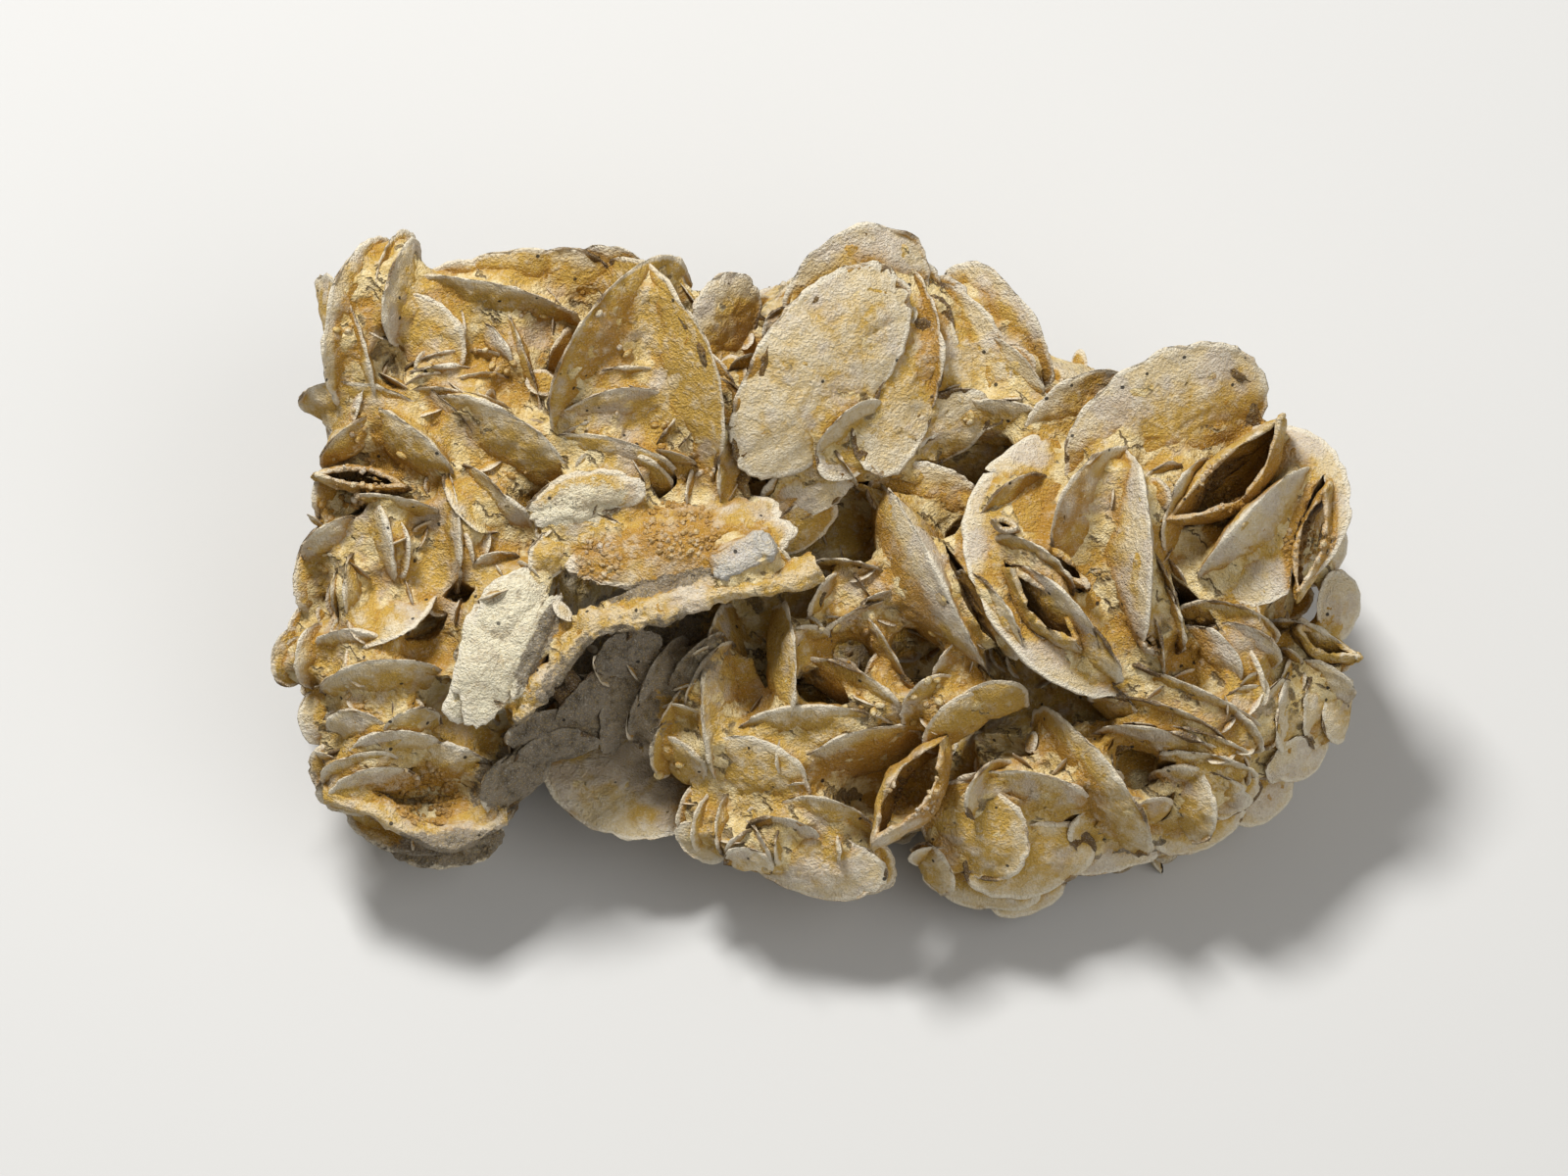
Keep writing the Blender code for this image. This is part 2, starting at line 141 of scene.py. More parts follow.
solid = frame["nodes"]["crystal_cluster"]
take_alone(solid)
bpy.ops.object.duplicate()
core = bpy.context.object
core.name = "core"
core.parent = None
for key in list(core.keys()):
    del core[key]
take_alone(core)
bpy.ops.object.mode_set(mode="EDIT")
bpy.ops.mesh.select_all(action="SELECT")
bpy.ops.mesh.remove_doubles(threshold=1e-6)
bpy.ops.object.mode_set(mode="OBJECT")
apply_modifier(core, "grain", "REMESH", mode="VOXEL", voxel_size=CORE_GRAIN * MM)
apply_modifier(core, "shrink", "DISPLACE", strength=-CORE_DEPTH * MM, mid_level=0.0)
apply_modifier(core, "soften", "SMOOTH", factor=0.5, iterations=CORE_SOFTEN)


# The calcite's finish. Rims are a pale crust, faces a dull pinkish tan that turns ochre away from the rim. Sheltered
# places are painted ochre and orange brown, partly staining and partly painted shade, the deepest corners near black
# as painted shade, and open places paler as painted light. Dried clay, grey marl and black specks lie over all of it.

class Wire:
    """A value in a material's node tree. Sums, products and differences of wires make Math nodes."""

    def __init__(self, tree, socket=None):
        self.tree = tree
        self.socket = socket

    def node(self, kind, settings=None, inputs=None, output=0):
        """A node of the given kind with its settings made first, then its inputs; returns one output."""
        made = self.tree.nodes.new(kind)
        for key, value in (settings or {}).items():
            setattr(made, key, value)
        for key, value in (inputs or {}).items():
            if isinstance(value, Wire):
                self.tree.links.new(value.socket, made.inputs[key])
            else:
                made.inputs[key].default_value = value
        return Wire(self.tree, made.outputs[output])

    def math(self, operation, first, second=0.0):
        return self.node("ShaderNodeMath", {"operation": operation}, {0: first, 1: second})

    def __add__(self, other):
        return self.math("ADD", self, other)

    def __sub__(self, other):
        return self.math("SUBTRACT", self, other)

    def __mul__(self, other):
        return self.math("MULTIPLY", self, other)

    def __rsub__(self, other):
        return self.math("SUBTRACT", other, self)

    __radd__ = __add__
    __rmul__ = __mul__

    def step(self, low, high):
        """0 below low and 1 above high, smooth between them; low may be the higher one."""
        settings = {"interpolation_type": "SMOOTHSTEP"}
        inputs = {0: self, 1: min(low, high), 2: max(low, high)}
        inputs.update({3: 0.0, 4: 1.0} if low < high else {3: 1.0, 4: 0.0})
        return self.node("ShaderNodeMapRange", settings, inputs)

    def paint(self, base, colour):
        """This wire as a mask that lays colour over base."""
        return self.node("ShaderNodeMix", {"data_type": "RGBA"}, {0: self, 6: base, 7: colour}, output=2)

    def noise(self, where, size, detail=3.0, rough=0.55):
        """A noise from 0 to 1 with features of the given size in millimetres."""
        inputs = {"Vector": where, "Scale": 1.0 / (size * MM), "Detail": detail, "Roughness": rough}
        return self.node("ShaderNodeTexNoise", {}, inputs)

    def cells(self, where, size, feature="F1", output=0, jitter=1.0):
        """Cells of the given size in millimetres."""
        inputs = {"Vector": where, "Scale": 1.0 / (size * MM), "Randomness": jitter}
        return self.node("ShaderNodeTexVoronoi", {"feature": feature}, inputs, output)


def colour(red, green, blue):
    return (red, green, blue, 1.0)


BUFF = colour(0.58, 0.46, 0.265)
OCHRE = colour(0.47, 0.288, 0.048)
# Amber paints stained patches and, as painted shade, sheltered recesses.
AMBER_STAIN_AND_SHADE = colour(0.36, 0.175, 0.011)
# Umber paints the open cracks in the clay and, as painted shade, the deepest corners.
UMBER_CRACK_AND_SHADE = colour(0.075, 0.034, 0.005)
CRUST = colour(0.70, 0.64, 0.51)
LILAC = colour(0.49, 0.44, 0.40)
CLAY = colour(0.70, 0.58, 0.33)
DARK_CLAY = colour(0.54, 0.38, 0.13)
CHALK = colour(0.68, 0.62, 0.45)
DARK_CHALK = colour(0.46, 0.39, 0.27)
MARL = colour(0.20, 0.165, 0.12)
DARK_MARL = colour(0.06, 0.045, 0.028)
QUARTZ = colour(0.40, 0.385, 0.35)
SPECK = colour(0.012, 0.009, 0.006)


def new_finish(name):
    material = bpy.data.materials.new(name)
    material.use_nodes = True
    tree = material.node_tree
    return material, Wire(tree), tree.nodes["Principled BSDF"]


def connect(wire, shader, name):
    wire.tree.links.new(wire.socket, shader.inputs[name])


def calcite_finish(name, clay=0.0, warmth=0.5, pale=0.5, face=BUFF, flank=OCHRE, marks=False):
    """The stone of a group of crystals: clay says how much dried clay clings to it, warmth how much of the flank's
    colour it has, pale how much powder, and marks whether patches of chalk and marl reach it."""
    material, start, shader = new_finish(name)
    where = start.node("ShaderNodeTexCoord", output=3)
    rim = start.node("ShaderNodeAttribute", {"attribute_name": "rim"}, output=2)
    tint = start.node("ShaderNodeAttribute", {"attribute_name": "tint"}, output=2)
    shelter = start.node("ShaderNodeAttribute", {"attribute_name": "shelter"}, output=2)
    broad = start.noise(where, 9.0, 2.0)
    patches = start.noise(where, 3.0, 3.0, 0.6)
    fine = start.noise(where, 0.5, 3.0, 0.75)
    streaks = start.noise(where, 1.4, 3.0, 0.6)

    # Ochre grows with distance from the rim, with noise and with tint; the shelter term also paints sheltered recesses
    # ochre, a painted shade.
    warm = patches * 0.9 + broad * 0.6 + (tint - 0.5) * 0.35 + (shelter - 0.3) * 1.0 + rim.step(0.4, 2.6) * 0.35
    stone = (warm + (warmth - 1.30)).step(-0.15, 0.25).paint(face, flank)
    grey = (start.noise(where, 4.5, 3.0) - tint * 0.2).step(0.40, 0.56) * 0.6
    stone = grey.paint(stone, LILAC)
    rust = start.node("ShaderNodeAttribute", {"attribute_name": "rust"}, output=2)
    # Amber: staining where the rust patches and the noise put it, and painted shade where the stone is sheltered.
    stain_and_shade = (shelter + patches * 0.6 + (fine - 0.5) * 0.5 - 0.3 + rust.step(-0.1, 0.4) * 0.5).step(0.30, 0.70)
    stone = (stain_and_shade * 0.9).paint(stone, AMBER_STAIN_AND_SHADE)

    # The pale crust follows the rims and noise; its shelter term, and the powder's, also paint open places paler, a
    # painted light.
    crust = rim.step(0.7, 0.1) * 0.8 + (fine - 0.5) * 0.7 + (0.35 - shelter) * 0.3
    stone = (crust.step(0.2, 0.8) * 0.75).paint(stone, CRUST)
    dust = streaks * 0.6 + fine * 0.4
    powder = (dust + pale * 0.12 - shelter * 0.2).step(0.50, 0.68) * 0.45
    stone = powder.paint(stone, CRUST)

    height = start.noise(where, 0.25, 2.0, 0.6) * 0.45 + fine * 1.0 + streaks * 1.3
    if clay:
        laid = (start.noise(where, 5.0, 4.0, 0.6) + clay * 0.3 - 0.15 + shelter * 0.05).step(0.5, 0.6)
        tone = start.noise(where, 1.6, 4.0, 0.65).step(0.35, 0.65).paint(CLAY, DARK_CLAY)
        stone = laid.paint(stone, tone)
        cracks = start.cells(where + start.noise(where, 1.5, 3.0) * 0.0016, 2.4, "DISTANCE_TO_EDGE")
        open_crack = laid * cracks.step(0.065, 0.02) * start.noise(where, 2.6, 2.0).step(0.45, 0.53)
        stone = (open_crack * 0.8).paint(stone, UMBER_CRACK_AND_SHADE)
        height = height + open_crack * -1.5 + laid * start.noise(where, 0.8, 3.0, 0.7) * 0.8
    if marks:
        edge = (start.noise(where, 1.8, 5.0, 0.7) - 0.5) * 1.8
        shade = start.noise(where, 1.3, 4.0, 0.7).step(0.32, 0.56)
        for mark, light, dark in (("chalk", CHALK, DARK_CHALK), ("marl", MARL, DARK_MARL)):
            amount = start.node("ShaderNodeAttribute", {"attribute_name": mark}, output=2)
            stone = ((amount + edge).step(0.0, 0.2) * 0.9).paint(stone, shade.paint(dark, light))
    # Painted shade: the most sheltered corners are painted near-black umber.
    stone = (shelter.step(0.76, 0.98) * 0.9).paint(stone, UMBER_CRACK_AND_SHADE)
    grains = start.noise(where, 0.22, 2.0, 0.7)
    stone = (grains.step(0.50, 0.32) * 0.35).paint(stone, DARK_CLAY)
    stone = (grains.step(0.55, 0.72) * 0.4).paint(stone, CRUST)

    spots = start.cells(where, 1.25)
    rare = start.node("ShaderNodeSeparateColor", {}, {0: start.cells(where, 1.25, output=1)})
    specks = spots.step(0.20, 0.14) * rare.step(0.90, 0.91)
    stone = (specks * 0.9).paint(stone, SPECK)
    connect(stone, shader, "Base Color")

    glints = start.node("ShaderNodeSeparateColor", {}, {0: start.cells(where, 0.25, output=1)})
    connect(0.75 - glints.step(0.95, 0.97) * 0.5, shader, "Roughness")
    inputs = {"Strength": 0.9, "Distance": 0.42 * MM, "Height": height}
    connect(start.node("ShaderNodeBump", {}, inputs), shader, "Normal")
    shader.inputs["Specular IOR Level"].default_value = 0.35
    return material


def finish_piece(piece, finish):
    """Gives a piece its finish and smooth shading, keeps it above the resting plane, and attaches it to the cluster's
    body.
    """
    piece.data.materials.clear()
    piece.data.materials.append(finish)
    piece.data.polygons.foreach_set("use_smooth", [True] * len(piece.data.polygons))
    for name, value in (("rim", 5.0), ("tint", 0.5), ("chalk", -9.0), ("marl", -9.0), ("rust", -9.0)):
        if name not in piece.data.attributes:
            attribute(piece, name, np.full(len(piece.data.vertices), value))
    settle_on_foot(piece)
    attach(piece, "root")
    return piece


# ---------------------------------------------------------------------------------------------------------------
# Hollow casts: crystals whose core dissolved. Each leaves a lens-shaped hole in the mass, lined by a thin ragged
# wall whose crest is broken away. Plain pits between the crystals are cut the same way, without a wall.

LENS_SECTION = (
    (0.0, 0.49), (0.13, 0.475), (0.26, 0.435), (0.38, 0.383), (0.49, 0.328), (0.59, 0.273), (0.68, 0.218),
    (0.76, 0.168), (0.83, 0.122), (0.89, 0.081), (0.935, 0.049), (0.968, 0.026), (0.99, 0.009),
)
DISH_SECTION = (
    (0.0, 0.06), (0.3, 0.06), (0.5, 0.08), (0.64, 0.13), (0.74, 0.22), (0.81, 0.36), (0.86, 0.47), (0.90, 0.50),
    (0.935, 0.45), (0.965, 0.32), (0.985, 0.17),
)
CAST_OPENING = 0.52  # the crest is broken away above this share of the half breadth
CAST_WALL = 0.45
LARGE_FROM = 8.5
MEDIUM_FROM = 4.6
FACE_ON = 48.0  # a crystal that lies flatter than this shows its whole face
UPRIGHT = 75.0  # a crystal that stands steeper than this is seen from its fat, wedge-like crest


def spin_lens(name, steps, keep_from=None, top=LENS_SECTION, bottom=LENS_SECTION):
    """A lens of radius 1 and thickness 1 about Z. keep_from cuts away what lies below that Y."""
    bpy.ops.object.select_all(action="DESELECT")
    bpy.ops.mesh.primitive_plane_add(size=1.0)
    lens = bpy.context.object
    lens.name = name
    bpy.ops.object.mode_set(mode="EDIT")
    bpy.ops.mesh.select_all(action="SELECT")
    bpy.ops.mesh.merge(type="CENTER")
    section = [(r, z) for r, z in top] + [(1.0, 0.0)] + [(r, -z) for r, z in reversed(bottom)]
    at = (0.0, 0.0)
    for r, z in section:
        step = (r - at[0], 0.0, z - at[1])
        if at == (0.0, 0.0):
            bpy.ops.transform.translate(value=step)
        else:
            bpy.ops.mesh.extrude_region_move(TRANSFORM_OT_translate={"value": step})
        at = (r, z)
    bpy.ops.mesh.select_all(action="SELECT")
    bpy.ops.mesh.spin(steps=steps, angle=math.tau, center=(0, 0, 0), axis=(0, 0, 1))
    bpy.ops.mesh.select_all(action="SELECT")
    bpy.ops.mesh.remove_doubles(threshold=1e-4)
    if keep_from is not None:
        bpy.ops.mesh.bisect(plane_co=(0, keep_from, 0), plane_no=(0, 1, 0), use_fill=True, clear_inner=True)
        bpy.ops.mesh.select_all(action="SELECT")
    bpy.ops.mesh.normals_make_consistent(inside=False)
    bpy.ops.object.mode_set(mode="OBJECT")
    lens.hide_render = True
    return lens


MASTERS = {
    (size, whole): spin_lens(f"lens_{size}_{whole}", steps, None if whole else -0.4)
    for size, steps in (("small", 32), ("medium", 54), ("large", 92))
    for whole in (True, False)
}
GRAIN_MASTER = spin_lens("lens_grain", 20, None, LENS_SECTION[::2], LENS_SECTION[::2])
BACK_MASTER = spin_lens("lens_back", 28, None, LENS_SECTION[::2], LENS_SECTION[::2])
DISH_MASTER = spin_lens("dish", 104, top=DISH_SECTION)
WALL_MASTER = spin_lens("open_lens", 96)
take_alone(WALL_MASTER)
bpy.ops.object.mode_set(mode="EDIT")
bpy.ops.mesh.select_all(action="SELECT")
bpy.ops.mesh.bisect(plane_co=(0, CAST_OPENING, 0), plane_no=(0, 1, 0), clear_outer=True)
bpy.ops.mesh.select_all(action="SELECT")
bpy.ops.mesh.bisect(plane_co=(0, -0.6, 0), plane_no=(0, 1, 0), clear_inner=True)
bpy.ops.object.mode_set(mode="OBJECT")


def crystal_frame(u, v, crest, strike, dip, half_breadth):
    """Centre of a crystal of the show face, and its long axis, crest direction and face direction."""
    turn = math.radians(strike)
    lean = math.radians(dip)
    side = 1.0 if dip >= 0 else -1.0
    along = Vector((math.cos(turn), math.sin(turn), 0.0))
    up = Vector((-math.sin(turn) * math.cos(lean), math.cos(turn) * math.cos(lean), math.sin(lean))) * side
    centre = SHOW @ (Vector((u, v, crest - half_breadth * up.z)) * MM)
    face = SHOW.to_3x3()
    return centre, (face @ along, face @ up, face @ along.cross(up))


def shape_lens(points, size, dice, wildness):
    """Waves and chips the rim of a unit lens, scales it to size in millimetres, and bends it a little."""
    radius = np.hypot(points[:, 0], points[:, 1])
    angle = np.arctan2(points[:, 1], points[:, 0])
    outline = np.zeros(len(points))
    for wave in range(2, 9):
        outline += dice.uniform(-1, 1) * 0.035 / wave ** 0.6 * np.sin(wave * angle + dice.uniform(0, math.tau))
    for wave in range(11, 34, 3):
        outline += dice.uniform(-1, 1) * 0.006 * np.sin(wave * angle + dice.uniform(0, math.tau))
    for _ in range(dice.randint(1, 4)):
        gap = np.abs((angle - dice.uniform(-math.pi, math.pi) + math.pi) % math.tau - math.pi)
        outline -= dice.uniform(0.02, 0.07) * np.exp(-((gap / dice.uniform(0.05, 0.16)) ** 2))
    outward = 1.0 + wildness * outline * np.clip((radius - 0.3) / 0.6, 0, 1)
    shaped = points * np.stack([outward, outward, np.ones_like(outward)], axis=1)
    shaped = shaped * np.array(size)
    bend = dice.uniform(-0.012, 0.012) * wildness
    twist = dice.uniform(-0.008, 0.008) * wildness
    shaped[:, 2] += bend * shaped[:, 0] ** 2 + twist * shaped[:, 0] * shaped[:, 1]
    ribs = np.sin(radius * size[1] * 4.2 + dice.uniform(0, math.tau) + 1.3 * np.sin(3 * angle))
    shaped[:, 2] += np.sign(points[:, 2]) * 0.035 * ribs * np.clip(radius * 2 - 0.6, 0, 1) * (1.0 - radius)
    return shaped, (1.0 - radius) * min(size[0], size[1])


def place_lens(name, master, size, centre, axes, dice, wildness):
    """A shaped copy of a master lens at its place."""
    crystal = master.copy()
    crystal.data = master.data.copy()
    crystal.name = name
    crystal.hide_render = False
    bpy.context.scene.collection.objects.link(crystal)
    shaped, rim = shape_lens(points_of(crystal), size, dice, wildness)
    set_points(crystal, shaped * MM @ np.array(axes) + np.array(centre))
    attribute(crystal, "rim", rim)
    attribute(crystal, "tint", np.full(len(rim), dice.random()))
    return crystal


def lens_copy(name, row, dice, wildness=1.0, master=None):
    """One crystal from a row of a table: a copy of the lens that suits its size."""
    u, v, crest, strike, dip, half_length, half_breadth, thickness = row
    centre, axes = crystal_frame(u, v, crest, strike, dip, half_breadth)
    if master is None:
        thickness *= 1.0 + 0.8 * min(max(abs(dip) - FACE_ON, 0.0) / (UPRIGHT - FACE_ON), 1.0)
        size = "large" if half_length >= LARGE_FROM else "medium" if half_length >= MEDIUM_FROM else "small"
        master = MASTERS[size, abs(dip) < FACE_ON]
    return place_lens(name, master, (half_length, half_breadth, thickness), centre, axes, dice, wildness)


def join(name, crystals):
    """Crystals as one piece."""
    bpy.ops.object.select_all(action="DESELECT")
    for crystal in crystals:
        crystal.select_set(True)
    bpy.context.view_layer.objects.active = crystals[0]
    bpy.ops.object.join()
    piece = bpy.context.object
    piece.name = name
    piece.data.name = name
    return piece


def cast_wall(name, row, dice):
    """The wall of a hollow crystal. Its row gives the height of the torn lip instead of the crest."""
    u, v, lip, strike, dip, half_length, half_breadth, thickness = row
    crest = lip + (1.0 - CAST_OPENING) * half_breadth
    wall = lens_copy(name, (u, v, crest, *row[3:]), dice, 1.8, WALL_MASTER)
    centre, axes = crystal_frame(u, v, crest, strike, dip, half_breadth)
    points = points_of(wall)
    local = (points - np.array(centre)) @ np.array(axes).T / MM
    share = local[:, 1] / half_breadth
    top = np.clip((share - 0.1) / (CAST_OPENING - 0.1), 0, 1)
    run = local[:, 0] / half_length
    tear = 0.15 * run ** 2
    for wave in range(2, 30, 3):
        side = dice.uniform(0, math.tau) + np.where(local[:, 2] > 0, 1.0, 0.0)
        tear += dice.uniform(0.3, 1) * 0.11 / wave ** 0.4 * np.sin(wave * run * 2.2 + side)
    set_points(wall, points + (top * tear * half_breadth * MM)[:, None] * np.array(axes[1]))
    attribute(wall, "rim", np.where(top > 0, 0.35 + (1.0 - top) * 2.0, 2.0))
    apply_modifier(wall, "even", "SMOOTH", factor=0.5, iterations=5)
    apply_modifier(wall, "wall", "SOLIDIFY", thickness=CAST_WALL * MM, offset=-1.0)
    apply_modifier(wall, "worn", "SMOOTH", factor=0.5, iterations=2)
    return wall


CASTS = (
    (-46.6, 10.0, 9.4, -8, 84, 5.6, 3.4, 3.0),
    (21.8, -3.2, 14.0, -47, 80, 6.0, 4.8, 4.6),
    (24.0, 1.0, 13.4, -42, 80, 3.6, 3.4, 2.4),
    (41.0, 9.8, 12.6, 40, 82, 9.0, 4.8, 6.8),
    (49.2, 3.6, 11.0, 74, 80, 6.6, 4.2, 4.4),
    (9.0, -21.6, 8.4, 56, 80, 7.2, 5.4, 6.6),
    (50.6, -7.0, 5.6, -26, 72, 4.0, 3.0, 3.0),
    (32.4, -6.4, 12.8, -50, 84, 1.8, 2.4, 1.8),
    (18.1, 5.2, 14.6, -20, 84, 1.6, 2.2, 1.9),
)
PITS = (
    (17.6, -16.0, 9.0, -24, 84, 4.4, 5.0, 5.0),
    (25.0, -25.6, 7.0, 26, 78, 5.0, 4.4, 2.4),
    (-40.6, -21.4, 7.0, 0, 74, 5.6, 4.2, 5.0),
    (48.9, -13.2, 9.0, 84, 80, 2.4, 3.0, 1.4),
    (51.6, -13.0, 7.0, 84, 74, 2.4, 3.0, 1.2),
    (1.8, -18.6, 10.6, 16, 74, 3.6, 3.6, 1.0),
    (20.0, -21.4, 9.4, -10, 66, 2.2, 2.6, 1.1),
    (-36.8, -1.5, 12.0, 10, 86, 1.8, 4.0, 2.6),
    (-40.2, -4.8, 12.0, 30, 86, 2.6, 4.6, 4.0),
    (-27.4, 11.0, 13.0, -50, 86, 2.4, 4.4, 2.6),
    (-16.2, 10.0, 14.0, 80, 86, 2.2, 5.0, 3.0),
    (-12.2, 11.6, 13.0, -10, 86, 1.6, 4.0, 1.6),
    (4.2, 4.6, 13.0, 74, 86, 3.6, 8.0, 4.4),
    (-0.4, -11.4, 12.0, -20, 86, 3.4, 7.0, 4.6),
    (-5.8, -7.4, 13.0, 84, 86, 4.4, 7.0, 4.6),
    (7.4, 9.3, 12.0, -9, 86, 4.4, 5.0, 1.5),
    (13.6, 11.0, 11.0, -10, 86, 4.6, 5.0, 1.5),
    (-8.0, -2.6, 11.0, 12, 80, 8.0, 7.0, 4.0),
    (-28.6, -9.4, 14.0, 60, 86, 2.2, 4.0, 1.6),
    (-24.0, -18.4, 6.0, -10, 80, 5.2, 5.0, 4.0),
    (37.8, -4.4, 16.0, -58, 86, 5.6, 7.0, 3.0),
    (32.6, -19.8, 12.0, 20, 84, 3.2, 5.0, 4.0),
    (34.0, -24.0, 10.0, 60, 84, 2.8, 4.6, 2.6),
    (14.4, -2.0, 16.0, -62, 84, 6.0, 8.0, 2.2),
    (26.0, -13.0, 13.0, -12, 84, 5.6, 6.0, 3.0),
    (-35.8, -16.6, 11.0, 60, 84, 2.0, 4.0, 2.8),
    (-15.6, -19.8, 6.0, -30, 84, 3.0, 4.4, 2.4),
    (-22.6, -1.6, 14.0, 10, 84, 5.0, 5.0, 2.4),
    (-47.4, 6.8, 13.0, 30, 86, 2.2, 4.4, 1.4),
)
dice = random.Random("casts")
cutters = bpy.data.collections.new("cutters")
bpy.context.scene.collection.children.link(cutters)
for i, row in enumerate([*CASTS, *PITS]):
    lip, half_breadth = row[2], row[6]
    crest = lip + (1.0 - CAST_OPENING) * half_breadth if i < len(CASTS) else lip
    cutter = lens_copy(f"cutter_{i}", (*row[:2], crest, *row[3:]), dice, 1.6, MASTERS["small", True])
    roughen(cutter, 1.3, 0.5)
    cutters.objects.link(cutter)
    bpy.context.scene.collection.objects.unlink(cutter)


def carve(obj):
    """Cuts the hollows out of obj."""
    apply_modifier(obj, "carve", "BOOLEAN", operation="DIFFERENCE", operand_type="COLLECTION", collection=cutters,
                   solver="MANIFOLD")


cast_walls = join("hollow_casts", [cast_wall(f"cast_{i}", row, dice) for i, row in enumerate(CASTS)])
roughen(cast_walls, 2.2, 0.9)
roughen(cast_walls, 0.9, 0.25)
finish_piece(cast_walls, calcite_finish("cast_wall", warmth=0.9, pale=0.5))


# ---------------------------------------------------------------------------------------------------------------
# The crystals of the upper left corner: an upright pair of blades, a fin and the long curved blades along the top
# edge. Each is a lens, a section spun round its short axis, whose rim is a little chipped and waved.

def grow_group(name, rows, finish, wildness=1.0):
    """A group of crystals as one piece, roughened and given its finish."""
    dice = random.Random(name)
    piece = join(name, [lens_copy(f"{name}_{i}", row, dice, wildness) for i, row in enumerate(rows)])
    roughen(piece, 3.4, 0.8)
    roughen(piece, 1.2, 0.35)
    roughen(piece, 0.6, 0.12)
    return finish_piece(piece, finish)


LEFT_CORNER = (
    (-46.4, 25.8, 13, 76, 62, 8.9, 7.5, 3.0),
    (-48.3, 23.9, 11.8, -69, 70, 7.4, 6.0, 2.0),
    (-42.9, 30.4, 10.8, 84, 66, 4.8, 5.0, 1.6),
    (-48.6, 20.5, 9, 84, -62, 8.5, 5.0, 2.4),
    (-42.4, 28.8, 12.6, 80, 74, 5.6, 5.5, 1.8),
    (-40.4, 24.6, 9.6, -38, 26, 4.8, 4.0, 1.4),
    (-46.1, 16.6, 9.6, -14, 58, 7.4, 5.4, 2.4),
    (-32.8, 26.4, 11.4, -14, 62, 9.0, 6.5, 2.2),
    (-36.6, 29.2, 7.8, 10, 36, 4.6, 3.4, 2.0),
    (-31.0, 29.6, 8.4, 8, 38, 6.4, 4.6, 2.4),
    (-25.6, 29.8, 8.2, -12, 36, 4.8, 4.4, 2.2),
    (-21.4, 30.4, 8.6, -24, 44, 4.6, 4.2, 2.2),
    (-30.4, 21.4, 11.2, -71, 82, 6.6, 5.5, 1.3),
    (-33.3, 22.9, 10.0, -62, 64, 3.2, 3.4, 1.0),
    (-39.1, 21.5, 9.4, 16, 70, 3.4, 3.2, 0.6),
    (-38.9, 20.4, 9.6, 8, 72, 3.6, 3.2, 0.6),
    (-40.3, 19.5, 9.6, 20, 72, 2.6, 3.0, 0.6),
    (-36.6, 16.0, 10.0, -12, 58, 7.6, 5.6, 1.8),
    (-26.3, 22.1, 9.6, 70, 68, 3.2, 3.6, 1.2),
    (-34.5, 19.3, 9.4, 4, 64, 3.2, 3.4, 0.8),
)
left_corner = grow_group("left_corner_blades", LEFT_CORNER, calcite_finish("corner_stone", warmth=0.62, pale=0.5))


# ---------------------------------------------------------------------------------------------------------------
# The tent: two tall blades that lean together over a clay floor, with a fan of lenses in front of them.

TENT = (
    (-20.2, 22.6, 17, 56, 58, 11.0, 9.2, 2.6),
    (-18.0, 20.2, 17, -70, 54, 12.6, 12.2, 2.6),
    (-20.2, 22.6, 12.6, 78, 24, 4.6, 2.8, 1.2),
    (-21.7, 18.7, 13.0, 13, 64, 6.2, 5.0, 1.2),
    (-21.2, 15.6, 13.4, 14, 58, 6.8, 6.0, 2.2),
    (-24.0, 13.7, 11.8, 20, 66, 3.4, 4.4, 1.2),
    (-22.2, 10.9, 12.4, -11, 56, 7.8, 6.0, 2.4),
    (-18.5, 10.1, 11.4, -26, 60, 3.8, 4.2, 1.4),
    (-15.6, 15.4, 10.4, 25, 26, 4.2, 2.8, 1.0),
    (-15.3, 15.0, 11.4, 51, 84, 2.6, 3.0, 0.5),
    (-13.0, 14.4, 11.4, 43, 84, 2.6, 3.0, 0.5),
    (-9.6, 11.5, 12.0, 88, 78, 5.0, 4.6, 1.2),
    (-12.7, 8.9, 10.6, 84, 74, 3.0, 4.0, 1.2),
)
tent = grow_group("tent_blades", TENT, calcite_finish("tent_stone", warmth=0.95, pale=0.3), 0.6)


# ---------------------------------------------------------------------------------------------------------------
# The left face: crowded lenses in all directions, half drowned in clay.

